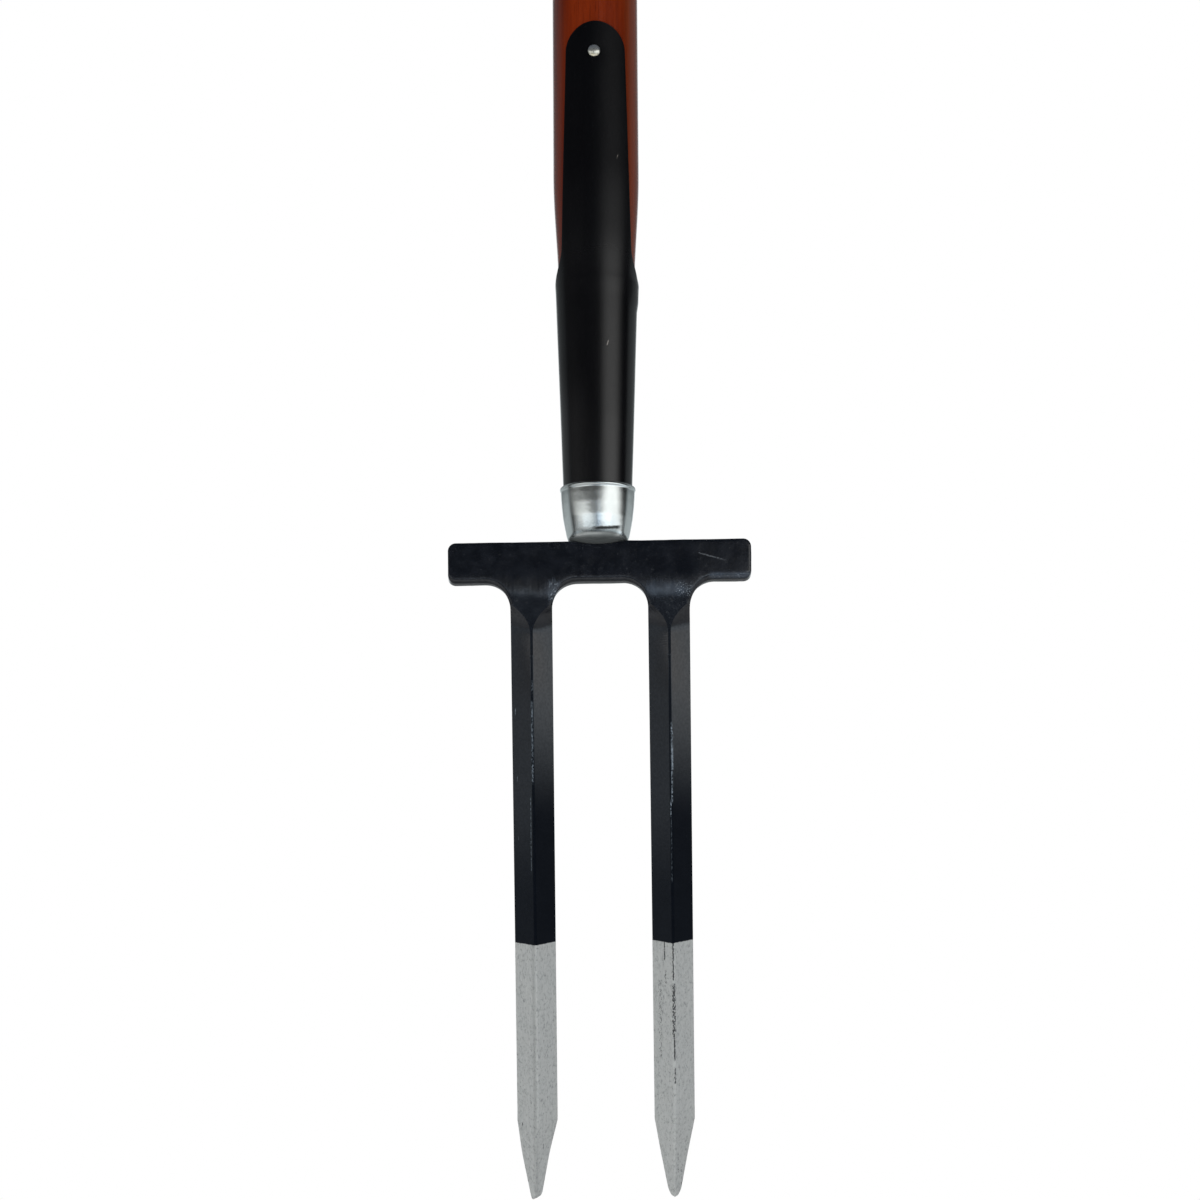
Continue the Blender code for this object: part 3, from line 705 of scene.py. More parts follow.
def arm_path(share):
    """Middle line of an arm in X and Z, with its direction."""
    start = Vector((ARM_START, ARM_LEAVES))
    end = Vector((EYE_X, ARM_ENDS))
    pull = Vector((0.0, (end.y - start.y) * 0.62))
    first, second = start + pull, end - pull
    t, u = share, 1 - share
    point = u**3 * start + 3 * t * u**2 * first
    point += 3 * t * t * u * second + t**3 * end
    way = u**2 * (first - start) + 2 * t * u * (second - first) + t * t * (end - second)
    return point, way.normalized()


def arm_ring(bm, side, point, way, half_width, hollow):
    """A thin section with rounded edges, curved where it wraps the collar."""
    outward = Vector((way.y, -way.x))
    columns = 14
    spots = [(1, half_width * (2.0 * i / columns - 1.0)) for i in range(columns + 1)]
    spots += [(-1, -half_width * (2.0 * i / columns - 1.0)) for i in range(columns + 1)]
    ring = []
    for face, y in spots:
        soft = max(abs(y) - (half_width - 0.0009), 0.0)
        thin = ARM_WALL / 2 - 0.45 * soft
        cup = hollow * (ARM_START - math.sqrt(ARM_START**2 - y**2))
        place = point + outward * (face * thin - cup)
        ring.append(bm.verts.new((side * place.x, y, place.y)))
    return ring


def arm(side):
    """One arm: it wraps the collar, spreads outwards and ends in a flat round eye."""
    bm = bmesh.new()
    rings = []
    up = Vector((0.0, 1.0))
    for i in range(4):
        z = blend(ARM_FOOT, ARM_LEAVES, i / 4)
        half = ARM_FOOT_WIDTH / 2 - (0.0016 if i == 0 else 0.0)
        rings.append(arm_ring(bm, side, Vector((ARM_START, z)), up, half, 1.0))
    for i in range(41):
        share = i / 40
        point, way = arm_path(share)
        half = blend(ARM_FOOT_WIDTH, ARM_WAIST_WIDTH, float(smooth_step(share))) / 2
        rings.append(arm_ring(bm, side, point, way, half, 1.0 - float(smooth_step(share / 0.77))))
    for i in range(25):
        angle = math.radians(blend(-35.0, 84.0, i / 24))
        height = GRIP_Z + EYE_RADIUS * math.sin(angle)
        half = max(EYE_RADIUS * math.cos(angle), 0.0013)
        rings.append(arm_ring(bm, side, Vector((EYE_X, height)), up, half, 0.0))
    capped_tube(bm, rings)
    bmesh.ops.recalc_face_normals(bm, faces=bm.faces)
    return bm


def grip_yoke(finish):
    """Collar and two arms, joined into one piece, with a hole drilled through each eye."""
    bore = SHAFT_RADIUS + CLEAR
    outer = bore + COLLAR_WALL
    low, high = COLLAR_BOTTOM, COLLAR_TOP
    profile = rounded([(bore, low), (outer, low), (outer, high), (bore, high)], 0.0006)
    piece = new_object("yoke_metal", turned_mesh(profile, 96))
    for side in (-1, 1):
        combine(piece, new_object("arm", arm(side)), "UNION")
    drill = ROD_RADIUS + CLEAR
    for x in (-EYE_X, EYE_X):
        profile = [(0.0, -0.004), (drill, -0.004), (drill, 0.004), (0.0, 0.004)]
        tool = new_object("eye_drill", turned_mesh(profile, 40, "X", (x, 0.0, GRIP_Z)))
        combine(piece, tool, "DIFFERENCE")
    return dress(piece, "grip_yoke", finish, 38.0)


def grip(finish):
    bore = ROD_RADIUS + CLEAR
    outer = []
    for i in range(41):
        z = (GRIP_HALF - GRIP_END_ROUND) * (i / 20 - 1.0)
        outer.append((blend(GRIP_END_RADIUS, GRIP_RADIUS, 1.0 - (z / GRIP_HALF) ** 2), z))
    end = []
    for i in range(1, 7):
        angle = math.radians(15.0 * i)
        end.append((outer[-1][0] - 0.0030 * (1.0 - math.cos(angle)),
                    GRIP_HALF - GRIP_END_ROUND * (1.0 - math.sin(angle))))
    start = [(radius, -height) for radius, height in reversed(end)]
    profile = [(bore, -GRIP_HALF)] + start + outer + end + [(bore, GRIP_HALF)]
    bm = turned_mesh(profile, 96, "X", (0.0, 0.0, GRIP_Z))
    return add_piece("grip_wood", bm, "grip", finish)


def washer(name, node, side, finish):
    bore = ROD_RADIUS + CLEAR
    start = EYE_X + ARM_WALL / 2 + CLEAR
    centre = side * (start + WASHER_THICKNESS / 2)
    half = WASHER_THICKNESS / 2
    corners = [(bore, -half), (WASHER_RADIUS, -half), (WASHER_RADIUS, half), (bore, half)]
    bm = turned_mesh(rounded(corners, 0.0003, 3), 64, "X", (centre, 0.0, GRIP_Z))
    return add_piece(name, bm, node, finish)


# Materials

# Worn places on the forged paint, and painted light on it: a bluish sheen, glow and glints at the
# tines' roots and the crossbar's right end. All are seen from the front, in millimetres. Each row
# is the left and right end, the low and high end, the softness and, where it isn't 1, the strength.
CHIPS = ((-22, 1, 13.5, 16.6, 1), (-62, -47, 0.4, 2.6, 1), (-62, -56, 12, 16.6, 1),
         (54, 63, 1, 4, 1))
CURL = (41.5, 53, 22.7, 23.1, 0.3)
# The next three rows are painted light: a bluish sheen, a faint bluish glow and pale glints.
PAINTED_SHEEN = ((18.5, 34, -7, 0.5, 3, 0.14), (-20.8, -16, -9, 0.5, 1.5, 0.35))
PAINTED_GLOW = ((20.5, 36, -5.8, -1.2, 2.2), (46, 63.5, 0.6, 3, 1), (-21.5, -16.5, -6, -1.5, 2, 0.5))
PAINTED_GLINTS = ((32, 38.5, -6.5, -0.8, 1), (-20.5, -16.8, -8, -0.5, 1), (47, 62.5, 1, 2.6, 0.6, 0.6))
WRINKLES = (22.6, 28.5, -27.5, -21.5, 1)

# Marks along the tines. Each row is the tine's side, the place across from its middle, half the
# width, the top and the bottom, in millimetres, and the strength.
SCRATCHES = (
    (-1, 0, 0.35, -41, -45.4, 0.2), (-1, -0.2, 0.35, -49.4, -81.7, 0.45),
    (-1, -1.2, 0.14, -87.7, -118, 0.3), (-1, -7.1, 0.15, -51.5, -53, 0.7),
    (-1, -6.6, 0.12, -79, -80, 0.6), (-1, -6.4, 0.12, -103, -104, 0.6),
    (1, 0.4, 0.28, -58.3, -89.7, 0.7), (1, 0.7, 0.22, -61.5, -77.7, 0.8),
    (1, -0.2, 0.22, -89.7, -95.8, 0.7), (1, -0.1, 0.22, -96.5, -122, 0.15))
WORN_MARKS = (
    (1, 0, 0.4, -145, -162, 0.85), (1, 0.1, 0.85, -163, -185, 0.75),
    (1, 0.2, 0.35, -183, -194.5, 1.0), (1, 0.3, 0.5, -197, -204, 0.6),
    (1, -3.5, 0.25, -145, -154, 0.9), (1, -3.2, 0.45, -156, -165, 0.5),
    (1, -5.4, 1.1, -161, -193, 0.42), (1, 4.8, 1, -157, -187, 0.3),
    (1, 1.2, 0.16, -231, -240, 0.6), (1, 2.4, 0.16, -237, -245, 0.6),
    (-1, -6.4, 0.3, -219, -220.3, 0.9), (-1, 2.3, 0.16, -226.9, -231, 0.5))
RIDGE_BAND = ((-1, -0.8, 0.7, -140, -250, 0.22),)

# Scratches on the straps: across, up, half the length and half the width, in millimetres
STRAP_SCRATCHES = ((9, 178.5, 0.8, 0.14), (4.5, 98.5, 1.1, 0.18))


class Net:
    """Short hand for building the nodes of one material or world."""

    def __init__(self, tree):
        self.tree = tree
        tree.nodes.clear()

    def feed(self, socket, value):
        if isinstance(value, bpy.types.NodeSocket):
            self.tree.links.new(value, socket)
        elif isinstance(value, tuple) and len(socket.default_value) == 4:
            socket.default_value = (*value, 1.0)
        else:
            socket.default_value = value

    def node(self, kind, inputs=None, **settings):
        """A new node; inputs holds a link or a value for each input, by name or number."""
        made = self.tree.nodes.new(kind)
        for key, value in settings.items():
            setattr(made, key, value)
        for key, value in (inputs or {}).items():
            self.feed(made.inputs[key], value)
        return made

    def math(self, operation, first, second=0.0, clamp=False):
        inputs = {0: first, 1: second}
        return self.node("ShaderNodeMath", inputs, operation=operation, use_clamp=clamp).outputs[0]

    def add(self, total, *values):
        for value in values:
            total = self.math("ADD", total, value)
        return total

    def times(self, total, *values):
        for value in values:
            total = self.math("MULTIPLY", total, value)
        return total

    def less(self, first, second):
        return self.math("SUBTRACT", first, second)

    def most(self, first, second):
        return self.math("MAXIMUM", first, second)

    def size(self, value):
        return self.math("ABSOLUTE", value)

    def ramp(self, value, low, high, start=0.0, end=1.0):
        """Start where the value is low, end where it is high, and a smooth change between."""
        inputs = {"Value": value, "From Min": low, "From Max": high, "To Min": start, "To Max": end}
        return self.node("ShaderNodeMapRange", inputs, interpolation_type="SMOOTHSTEP").outputs[0]

    def window(self, value, low, high, soft):
        """1 between low and high and 0 outside."""
        rise = self.ramp(value, low - soft, low + soft)
        return self.times(rise, self.ramp(value, high - soft, high + soft, 1.0, 0.0))

    def split(self, vector):
        return tuple(self.node("ShaderNodeSeparateXYZ", {0: vector}).outputs)

    def place(self):
        """Object coordinates, whole and as X, Y and Z."""
        vector = self.node("ShaderNodeTexCoord").outputs["Object"]
        return vector, *self.split(vector)

    def noise(self, vector, scale, detail=3.0, rough=0.5, stretch=None, shift=(0.0, 0.0, 0.0)):
        """Noise of this scale, in a space stretched along Z by one number or by three."""
        if isinstance(stretch, float):
            stretch = (1.0, 1.0, stretch)
        if stretch:
            inputs = {"Vector": vector, "Scale": stretch, "Location": shift}
            vector = self.node("ShaderNodeMapping", inputs).outputs[0]
        inputs = {"Vector": vector, "Scale": scale, "Detail": detail, "Roughness": rough}
        return self.node("ShaderNodeTexNoise", inputs).outputs[0]

    def mix(self, share, first, second):
        made = self.node("ShaderNodeMix", {0: share, 6: first, 7: second}, data_type="RGBA")
        return made.outputs[2]

    def bump(self, height, distance, normal=None):
        inputs = {"Height": height, "Distance": distance, "Strength": 1.0}
        if normal is not None:
            inputs["Normal"] = normal
        return self.node("ShaderNodeBump", inputs).outputs[0]

    def layers(self, colour, *coats):
        """Coats laid over a colour, each the share that it covers and its own colour."""
        for share, coat in coats:
            colour = self.mix(share, colour, coat)
        return colour


def material(name, recipe, *options):
    """A material from a recipe for its colour, roughness, normal, metallic and mirror strength."""
    made = bpy.data.materials.new(name)
    made.use_nodes = True
    net = Net(made.node_tree)
    names = ("Base Color", "Roughness", "Normal", "Metallic", "Specular IOR Level")
    values = recipe(net, *net.place(), *options)
    shader = net.node("ShaderNodeBsdfPrincipled", dict(zip(names, values)))
    net.node("ShaderNodeOutputMaterial", {"Surface": shader.outputs[0]})
    return made


def zones(net, x, z, *rows):
    """Sum of soft rectangles seen from the front."""
    made = []
    for row in rows:
        left, right, low, high, soft = (size * MM for size in row[:5])
        across, up = net.window(x, left, right, soft), net.window(z, low, high, soft)
        made.append(net.times(across, up, *row[5:]))
    return net.add(*made)


def tine_marks(net, x, z, marks):
    """The strongest of the marks that run along a tine, at each point."""
    level = net.add(x, net.times(net.less(z, HEAD_TURN_Z), math.sin(HEAD_TURN)))
    total = None
    for side, *sizes, strength in marks:
        across, half, top, bottom = (size * MM for size in sizes)
        centre = side * TINE_SPACING / 2 + across
        mark = net.times(net.window(level, centre - half, centre + half, half * 0.7),
                         net.window(z, bottom, top, 0.0012), strength)
        total = mark if total is None else net.most(total, mark)
    return total


def black_paint(net, vector, x, z, front, bar, coarse, grains, broken):
    """Colour of the glossy black paint, with its chips and scratches, and a painted bluish sheen,
    glow and glints where light catches the tines' roots and the crossbar's right end.
    """
    slant = net.add(z, net.times(x, 0.28))
    curl = net.times(zones(net, x, slant, CURL), net.ramp(grains, 0.46, 0.54), 1.4)
    chips = net.times(zones(net, x, z, *CHIPS), net.ramp(grains, 0.63, 0.69))
    chips = net.times(net.times(net.add(chips, curl), front), 0.6)
    scattered = net.times(net.ramp(grains, 0.76, 0.80), 0.3)
    # Streaks for the painted sheen.
    sheen_streaks = net.ramp(net.noise(vector, 1500.0, 4.0, 0.7, 0.3), 0.42, 0.68)
    # Specks for the painted glints.
    glint_mask = net.times(zones(net, x, z, *PAINTED_GLINTS), front, net.ramp(grains, 0.58, 0.66))
    scratches = net.times(tine_marks(net, x, z, SCRATCHES), front, net.ramp(broken, 0.42, 0.60))
    return net.layers(
        net.mix(coarse, (0.0022, 0.0032, 0.0056), (0.0048, 0.0064, 0.0100)),
        (net.most(chips, scattered), (0.20, 0.22, 0.24)),
        # Painted light: the bluish sheen, the faint glow and the pale glints.
        (net.times(zones(net, x, z, *PAINTED_SHEEN), front, sheen_streaks), (0.13, 0.17, 0.22)),
        (net.times(zones(net, x, z, *PAINTED_GLOW), front, 0.8), (0.032, 0.044, 0.064)),
        (glint_mask, (0.30, 0.35, 0.40)),
        (net.times(bar, net.ramp(coarse, 0.38, 0.66, 0.04, 0.5)), (0.0105, 0.0128, 0.0180)),
        (scratches, (0.30, 0.36, 0.42)))


def silver_paint(net, vector, x, z, front, right, streak, broken):
    """Colour of the silver paint, with its dark grains and worn marks, and painted shade on the
    facets that face right.
    """
    cloud = net.noise(vector, 90.0)
    dark = net.times(net.ramp(net.noise(vector, 1900.0, 2.0, 0.5, 0.4), 0.68, 0.74),
                     net.ramp(net.noise(vector, 120.0, 2.0), 0.5, 0.6))
    worn = tine_marks(net, x, z, WORN_MARKS)
    specks = net.ramp(net.add(broken, net.times(worn, 0.30)), 0.64, 0.72)
    grit = net.noise(vector, 1250.0, 4.0, 0.7, 0.55)
    return net.layers(
        net.mix(streak, (0.365, 0.38, 0.372), (0.66, 0.675, 0.66)),
        (net.times(cloud, 0.35), (0.38, 0.40, 0.42)),
        (net.times(dark, 0.5), (0.03, 0.03, 0.035)),
        (net.times(specks, net.ramp(worn, 0.10, 0.60, 0.0, 0.92), front), (0.012, 0.012, 0.015)),
        (net.ramp(grit, 0.48, 0.72, 0.0, 0.8), (0.20, 0.21, 0.215)),
        # Painted shade: facets that face right are darker.
        (net.ramp(right, 0.1, 0.4, 0.0, 0.12), (0.20, 0.205, 0.22)),
        (net.times(tine_marks(net, x, z, RIDGE_BAND), front), (0.12, 0.13, 0.13)))


def forged_paint(net, vector, x, y, z):
    """Glossy black paint on forged steel, and bare silver paint on the lower tines."""
    right, back, up = net.split(net.node("ShaderNodeNewGeometry").outputs["Normal"])
    front = net.ramp(back, -0.2, -0.5)
    down = net.add(net.times(y, math.sin(PAINT_SLANT)), net.times(z, -math.cos(PAINT_SLANT)),
                   net.times(x, 0.010))
    limit = net.add(down, net.times(net.noise(vector, 900.0, 4.0, 0.6, 0.2), 0.0006))
    silver = net.ramp(limit, PAINT_LINE + 0.0001, PAINT_LINE + 0.0004)
    painted = net.less(1.0, silver)
    bar = net.ramp(z, -0.026, -0.008)

    coarse = net.noise(vector, 160.0, 4.0, 0.55)
    fine = net.noise(vector, 1400.0, 3.0, 0.6, 0.6)
    pits = net.ramp(net.noise(vector, 620.0, 5.0, 0.7), 0.60, 0.72)
    bands = net.noise(vector, 330.0, 2.0, 0.5, 0.10)
    grains = net.noise(vector, 2300.0, 2.0, 0.6)
    broken = net.noise(vector, 1900.0, 3.0, 0.65, 0.5)
    streak = net.noise(vector, 1500.0, 4.0, 0.65, 0.05)
    black = black_paint(net, vector, x, z, front, bar, coarse, grains, broken)
    colour = net.mix(silver, black, silver_paint(net, vector, x, z, front, right, streak, broken))

    under = net.ramp(up, -0.45, -0.9)
    shine = net.add(0.05, net.times(coarse, 0.06), net.times(bar, 0.09), net.times(under, 0.25))
    dull = net.add(0.46, net.times(streak, 0.14))
    roughness = net.add(net.times(shine, painted), net.times(dull, silver))

    forged = net.add(net.times(coarse, 0.45), net.times(fine, 0.04), net.times(pits, -0.12),
                     net.times(bands, 0.45), -0.45)
    tread = net.times(net.ramp(x, 0.036, 0.042), net.ramp(z, -0.002, 0.002), z, 220.0)
    waves = net.math("SINE", net.times(net.add(z, net.times(coarse, 0.0012)), 6400.0))
    wrinkles = net.times(waves, 0.006, zones(net, x, z, WRINKLES))
    height = net.add(net.times(forged, bar), net.times(coarse, 0.05), net.times(fine, 0.006),
                     tread, wrinkles)
    normal = net.bump(net.times(streak, silver), 0.00002, net.bump(height, 0.00020))

    # The tines lose their gloss downwards, as they do in the photograph
    facet = net.ramp(right, -0.1, 0.1)
    fading = net.add(net.times(facet, net.ramp(z, -0.041, -0.098, 0.0, 0.95)),
                     net.times(net.less(1.0, facet), net.ramp(z, -0.082, -0.130, 0.0, 0.70)))
    side = net.ramp(net.size(right), 0.72, 0.90)
    fading = net.most(fading, net.times(side, net.less(1.0, bar), 0.9))
    gloss = net.times(net.less(1.0, fading), painted, 0.5)
    mottle = net.ramp(net.noise(vector, 1100.0, 3.0, 0.6), 0.35, 0.65, 0.86, 1.12)
    gloss = net.add(net.times(gloss, mottle), net.times(silver, 0.5), net.times(under, -0.30))
    return colour, roughness, normal, net.times(silver, 0.35), net.most(gloss, 0.0)


def bright_zinc(net, vector, x, y, z):
    """Bright zinc plate: a slight orange peel, painted shade in and below the crease at the front,
    and a duller domed bottom with painted shade.
    """
    cloud = net.noise(vector, 220.0, 3.0, 0.6, 0.7)
    specks = net.ramp(net.noise(vector, 2300.0, 3.0, 0.7), 0.60, 0.70)
    grain = net.noise(vector, 1100.0, 3.0, 0.6)
    level = net.add(z, net.times(y, -0.20), net.times(x, -0.04), net.times(grain, 0.0010), -0.0038)
    middle = net.times(net.ramp(net.size(x), 0.0110, 0.0090), net.ramp(y, -0.009, -0.011))
    # Painted shade in the crease at the front, broken into specks and stronger to the right.
    crease = net.times(net.window(level, 0.0191, 0.0203, 0.0004), middle)
    painted_crease_shade = net.times(crease, net.ramp(x, -0.003, 0.000, 0.28, 1.0), net.ramp(grain, 0.20, 0.36))
    # The painted crease shade, together with dark specks.
    share = net.math("ADD", net.times(painted_crease_shade, 0.95), net.times(specks, 0.12), clamp=True)
    # Painted shade: the domed bottom's colour is darkened; it is also rougher and less metallic.
    bottom = net.ramp(z, 0.0184, 0.0172)
    shade = net.times(net.ramp(level, 0.0197, 0.0191),
                      net.ramp(x, -0.001, 0.003, 0.40, 0.68), middle)
    colour = net.layers(
        net.mix(cloud, (0.56, 0.60, 0.60), (0.74, 0.77, 0.76)),
        (shade, (0.10, 0.115, 0.115)), (share, (0.02, 0.022, 0.02)),
        (net.times(bottom, 0.8), (0.10, 0.115, 0.115)))
    roughness = net.add(0.14, net.times(cloud, 0.12), net.times(share, 0.35),
                        net.times(bottom, 0.20))
    normal = net.bump(net.noise(vector, 900.0, 2.0), 0.000016)
    return colour, roughness, normal, net.less(1.0, net.times(bottom, 0.4))


def strap_black(net, vector, x, y, z):
    """Half-matt black paint with a fine grain and two pale scratches."""
    fine = net.noise(vector, 2200.0, 3.0, 0.6)
    cloud = net.noise(vector, 140.0, 3.0, 0.6, 0.25)
    specks = net.ramp(net.noise(vector, 2600.0, 2.0), 0.72, 0.78)
    colour = net.mix(cloud, (0.0013, 0.0014, 0.0020), (0.0026, 0.0027, 0.0036))
    colour = net.mix(net.times(specks, 0.35), colour, (0.10, 0.10, 0.11))
    for row in STRAP_SCRATCHES:
        across, up, long, thin = (size * MM for size in row)
        lean = net.less(net.less(x, across), net.times(net.less(z, up), 0.3))
        mark = net.times(net.window(lean, -thin, thin, thin * 0.7),
                         net.window(z, up - long, up + long, 0.0003))
        mark = net.times(mark, net.ramp(y, 0.0, -0.002))
        colour = net.mix(net.times(mark, net.ramp(fine, 0.35, 0.6)), colour, (0.25, 0.23, 0.21))
    roughness = net.add(0.17, net.times(cloud, 0.06), net.ramp(z, 0.115, 0.150, 0.0, 0.10))
    normal = net.bump(cloud, 0.00004, net.bump(fine, 0.000015))
    left = net.most(net.ramp(x, -0.005, 0.001, 0.5, 1.0), net.ramp(z, 0.092, 0.062, 0.5, 1.1))
    gloss = net.times(net.ramp(z, 0.127, 0.152, 0.5, 0.24), left)
    return colour, roughness, normal, 0.0, gloss


def stained_wood(net, vector, x, y, z, along, side_shading):
    """Red-brown stained wood under a thin clear coat, with its grain along one axis.

    The shaft's sides have painted light and shade: painted shade darkens the left side and painted
    orange light brightens the right.
    """
    close, slow = (tuple(k if i == along else 1.0 for i in range(3)) for k in (0.035, 0.12))
    grain = net.noise(vector, 1500.0, 4.0, 0.65, close)
    broad = net.noise(vector, 420.0, 3.0, 0.5, close, (0.3, 0.1, 0.2))
    cloud = net.noise(vector, 70.0, 3.0, 0.5, slow)
    pores = net.ramp(net.noise(vector, 3100.0, 2.0, 0.5, close, (0.7, 0.4, 0.1)), 0.60, 0.72)
    colour = net.layers(
        net.mix(grain, (0.098, 0.0074, 0.0008), (0.180, 0.0195, 0.0018)),
        (net.ramp(broad, 0.35, 0.68, 0.0, 0.6), (0.072, 0.0050, 0.0008)),
        (net.ramp(cloud, 0.35, 0.70, 0.0, 0.35), (0.225, 0.0280, 0.0030)),
        (net.times(pores, 0.55), (0.05, 0.005, 0.001)))
    if side_shading:
        # Painted shade on the left side, painted light on the right side.
        colour = net.layers(
            colour, (net.ramp(x, -0.0110, -0.0145, 0.0, 0.38), (0.030, 0.004, 0.001)),
            (net.ramp(x, 0.0110, 0.0145, 0.0, 0.35), (0.170, 0.045, 0.014)))
    normal = net.bump(pores, 0.000012, net.bump(grain, 0.000005))
    return colour, net.add(0.15, net.times(grain, 0.10)), normal, 0.0, 0.3


def rivet_zinc(net, vector, x, y, z):
    """Zinc rivet with the faint yellow of its plating low down and a painted bluish reflection on
    the top of its head.
    """
    # Yellow plating below, painted bluish reflection above.
    tint = net.ramp(z, STRAP_RIVET_Z - 0.0022, STRAP_RIVET_Z + 0.0018)
    cloud = net.noise(vector, 700.0, 3.0, 0.6)
    colour = net.mix(tint, (0.78, 0.73, 0.55), (0.52, 0.58, 0.66))
    colour = net.mix(net.ramp(cloud, 0.45, 0.7, 0.0, 0.5), colour, (0.66, 0.68, 0.68))
    return colour, net.add(0.20, net.times(cloud, 0.15)), net.bump(cloud, 0.00003), 0.86


def yoke_black(net, vector, x, y, z):
    """Black paint with soft flow marks."""
    fine = net.noise(vector, 1800.0, 3.0, 0.6)
    cloud = net.noise(vector, 130.0, 3.0, 0.6)
    colour = net.mix(cloud, (0.0050, 0.0055, 0.0070), (0.0120, 0.0125, 0.0145))
    normal = net.bump(cloud, 0.0001, net.bump(fine, 0.000015))
    return colour, net.add(0.32, net.times(cloud, 0.14)), normal


def plain_steel(net, vector, x, y, z):
    """Plain turned steel with fine rings round its axis, which runs along X."""
    squares = net.add(net.times(y, y), net.math("POWER", net.less(z, GRIP_Z), 2.0))
    rings = net.math("SINE", net.times(net.math("SQRT", squares), 21000.0))
    cloud = net.noise(vector, 500.0, 3.0, 0.6)
    colour = net.mix(cloud, (0.42, 0.44, 0.44), (0.62, 0.63, 0.62))
    normal = net.bump(net.add(net.times(rings, 0.5), cloud), 0.00001)
    return colour, net.add(0.22, net.times(cloud, 0.16)), normal, 1.0


def floor_paper(net, vector, x, y, z):
    paper = net.noise(vector, 60.0)
    colour = net.mix(paper, (0.86, 0.86, 0.855), (0.90, 0.90, 0.895))
    return colour, 0.8, net.bump(paper, 0.0002)


def make_pieces():
    black, steel = material("strap_black", strap_black), material("plain_steel", plain_steel)
    fork_head(material("forged_paint", forged_paint))
    ferrule(material("bright_zinc", bright_zinc))
    shaft(material("shaft_stain_side_shade", stained_wood, 2, True))
    strap("socket_front", "front_strap", -1, black)
    strap("socket_back", "back_strap", 1, black)
    half = strap_inner_radius(STRAP_RIVET_Z) + STRAP_WALL + CLEAR
    rivet("socket_rivet", "strap_rivet", material("rivet_zinc", rivet_zinc),
          (0.0017, 0.0026, 0.0013, half), (-0.0005, 0.0, STRAP_RIVET_Z), "Y")
    grip_yoke(material("yoke_black", yoke_black))
    half = SHAFT_RADIUS + COLLAR_WALL + 2 * CLEAR
    for name, z in zip(("yoke_rivet_lower", "yoke_rivet_upper"), YOKE_RIVET_HEIGHTS):
        rivet(f"{name}_pin", name, steel, (0.0024, 0.0045, 0.0020, half),
              (0.0, 0.0, z), "Y")
    grip(material("grip_stain", stained_wood, 0, False))
    half = EYE_X + ARM_WALL / 2 + WASHER_THICKNESS + 2 * CLEAR
    rivet("grip_rod_pin", "grip_rod", steel,
          (ROD_RADIUS, ROD_HEAD_RADIUS, 0.0026, half), (0.0, 0.0, GRIP_Z), "X")
    washer("washer_left", "grip_washer_left", -1, steel)
    washer("washer_right", "grip_washer_right", 1, steel)


# Floor, light and camera

def studio_floor():
    bm = bmesh.new()
    corners = ((-3.0, -2.0), (3.0, -2.0), (3.0, 4.0), (-3.0, 4.0))
    bm.faces.new([bm.verts.new((x, y, FLOOR_Z)) for x, y in corners])
    made = new_object("studio_floor", bm)
    made.data.materials.append(material("floor_paper", floor_paper))


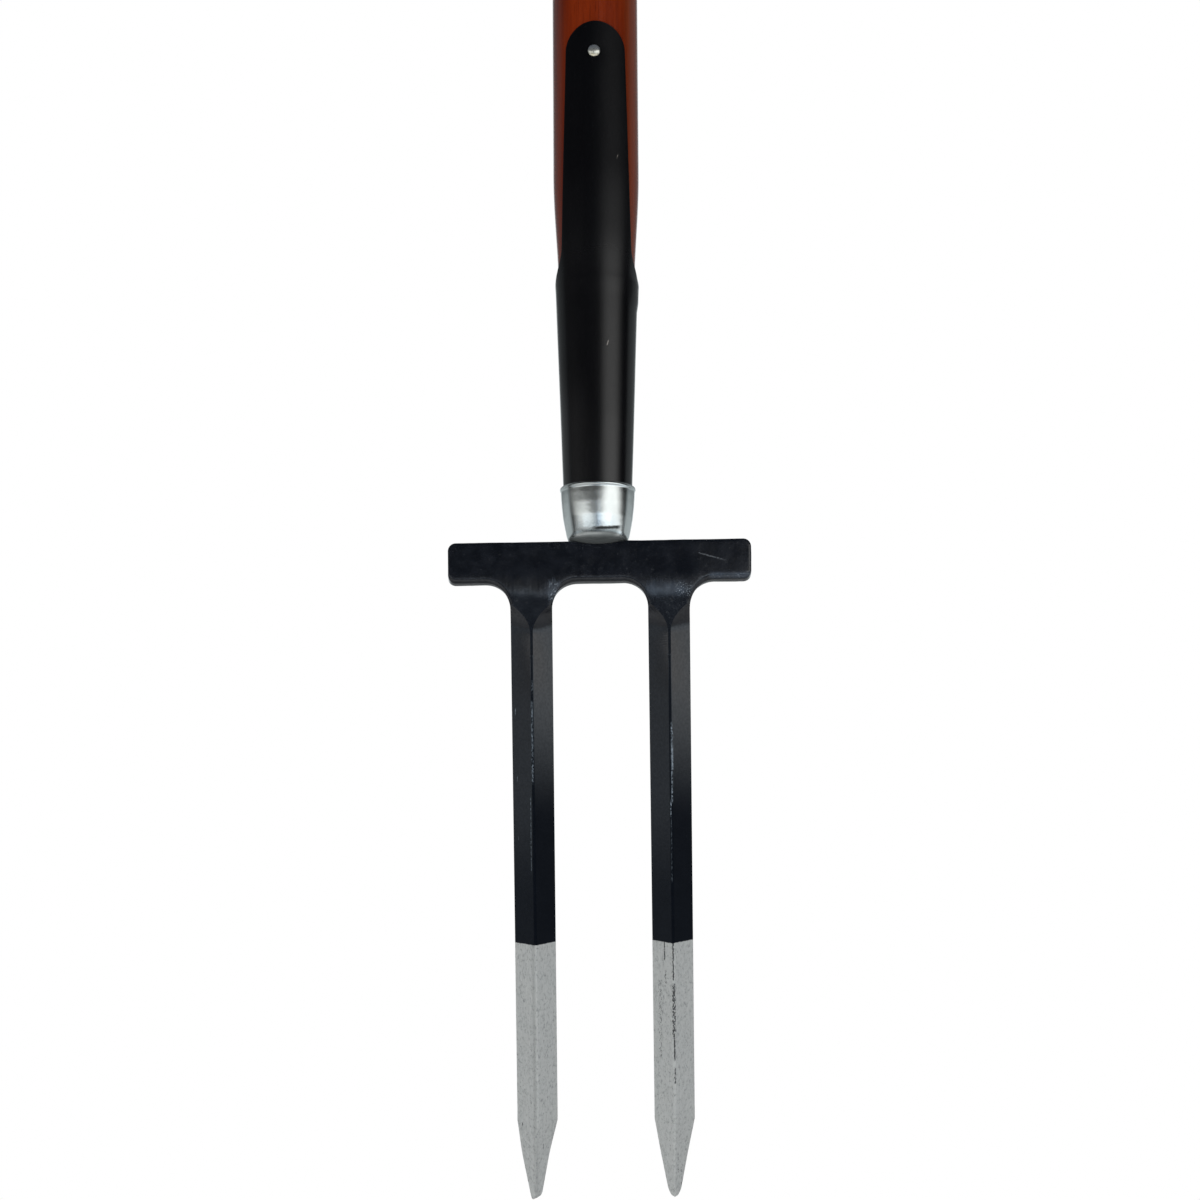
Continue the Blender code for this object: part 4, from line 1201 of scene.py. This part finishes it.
def studio_world():
    """White to the camera; reflections see pale walls, one soft box and a dark front."""
    world = bpy.data.worlds.new("studio")
    bpy.context.scene.world = world
    world.use_nodes = True
    net = Net(world.node_tree)
    x, y, z = net.split(net.node("ShaderNodeTexCoord").outputs["Generated"])
    turn = net.math("ARCTAN2", x, net.times(y, -1.0))
    rise = net.math("ARCSINE", z)
    apart = net.size(turn)

    def fade(*steps):
        """Product of ramps; a step is an angle, the degrees it runs between and its two values."""
        return net.times(*(net.ramp(angle, math.radians(low), math.radians(high), *values)
                           for angle, low, high, *values in steps))

    # A soft box to the right, broader below the horizon and narrower above it
    high = net.most(net.less(rise, math.radians(2)), 0.0)
    wider = fade((rise, -2, -5.5, 0.0, math.radians(14)))
    centre = net.add(wider, math.radians(44))
    spread = net.add(net.size(net.less(turn, centre)), high, net.times(wider, -0.9))
    box = fade((spread, 14, 50, 1.5, 0.0), (rise, 9, 16, 1.0, 0.0), (rise, 6.5, 9.5, 1.0, 1.35),
               (rise, -17, -9.5, 0.45, 1.0))
    # A slanting patch and a narrow strip to the left
    spread = net.size(net.add(turn, math.radians(55), net.times(rise, 2.8)))
    patch = fade((spread, 12, 37, 1.2, 0.0), (rise, -1, 6, 1.0, 0.25), (rise, -2, -5.5, 1.0, 1.5),
                 (rise, 7, 11, 1.0, 0.3), (rise, -12, -8))
    patch = net.times(patch, net.most(fade((rise, -7, -5.5)), fade((turn, -60, -50))))
    left = net.window(turn, math.radians(-88), math.radians(-58), math.radians(4))
    left = net.times(left, fade((rise, -3, -5, 0.0, 0.43), (rise, -6.2, -7.4, 1.0, 1.3)))
    # Light from the floor in front
    low = fade((apart, 42, 58, 1.0, 0.0), (rise, -1.5, -6.5, 0.2, 1.0), (turn, -4, 3, 0.8, 2.6),
               (rise, -10.5, -7), (rise, 7, 3))
    # Walls at the sides, a bright one behind and a dark front
    walls = net.add(fade((turn, 98, 112)), fade((turn, -92, -112)))
    walls = net.times(walls, fade((rise, 6, 11, 0.52, 0.26), (rise, -9, -6, 0.45, 1.0)))
    behind = net.times(fade((apart, 152, 165), (rise, -8, -6)), 0.9)
    grey = fade((apart, 70, 90, 0.13, 0.03), (rise, 6, 12, 1.0, 0.15))
    for zone in (box, patch, left, low, walls, behind):
        grey = net.most(grey, zone)
    tint = net.mix(fade((rise, -4, -9)), (1.0, 1.0, 0.985), (0.84, 0.93, 1.0))
    tint = net.mix(fade((rise, -2, -6), (apart, 13, 6)), tint, (0.72, 0.85, 1.0))
    tint = net.mix(fade((apart, 92, 104)), tint, (0.90, 0.975, 1.0))

    def light(colour, strength):
        return net.node("ShaderNodeBackground", {0: colour, 1: strength}).outputs[0]

    def choose(share, first, second):
        return net.node("ShaderNodeMixShader", {0: share, 1: first, 2: second}).outputs[0]

    path = net.node("ShaderNodeLightPath").outputs
    shown = choose(path["Is Glossy Ray"], light((0.98, 0.99, 1.0), 0.50), light(tint, grey))
    through = net.math("ADD", path["Is Camera Ray"], path["Is Transmission Ray"], clamp=True)
    shown = choose(through, shown, light((1.0, 1.0, 1.0), 1.0))
    net.node("ShaderNodeOutputWorld", {0: shown})


def area_lamp(name, place, target, power):
    light = bpy.data.lights.new(name, "AREA")
    light.shape = "DISK"
    light.size = LAMP_SIZE
    light.energy = power
    lamp = bpy.data.objects.new(name, light)
    way = Vector(target) - Vector(place)
    turned = way.to_track_quat("-Z", "Y").to_matrix().to_4x4()
    lamp.matrix_world = Matrix.Translation(place) @ turned
    lamp.visible_glossy = False
    bpy.context.scene.collection.objects.link(lamp)


def studio_lamps():
    area_lamp("front_light", (0.55, -1.9, 0.55), (0.0, 0.0, 0.0), 12.5)
    area_lamp("left_light", (-1.3, -1.5, 0.3), (0.0, 0.0, 0.0), 9.0)
    area_lamp("back_light", (0.4, 1.9, 1.0), (0.0, 0.0, 0.1), 12.0)


def photo_camera():
    """The camera as it was fitted to the photograph: below the head and looking up at it."""
    way = Vector((0.0, math.cos(CAMERA_TILT), math.sin(CAMERA_TILT)))
    lens = bpy.data.cameras.new("photo_camera")
    lens.sensor_width = CAMERA_SENSOR
    lens.lens = CAMERA_SENSOR / 2 / math.tan(CAMERA_VIEW / 2)
    lens.clip_start = 0.01
    camera = bpy.data.objects.new("photo_camera", lens)
    level = way.to_track_quat("-Z", "Y").to_matrix().to_4x4()
    place = Matrix.Translation(Vector(CAMERA_AIM) - CAMERA_DISTANCE * way)
    camera.matrix_world = place @ level @ Matrix.Rotation(-CAMERA_ROLL, 4, "Z")
    bpy.context.scene.collection.objects.link(camera)
    bpy.context.scene.camera = camera


make_pieces()
studio_floor()
studio_world()
studio_lamps()
photo_camera()
bpy.context.scene.view_settings.view_transform = "Standard"
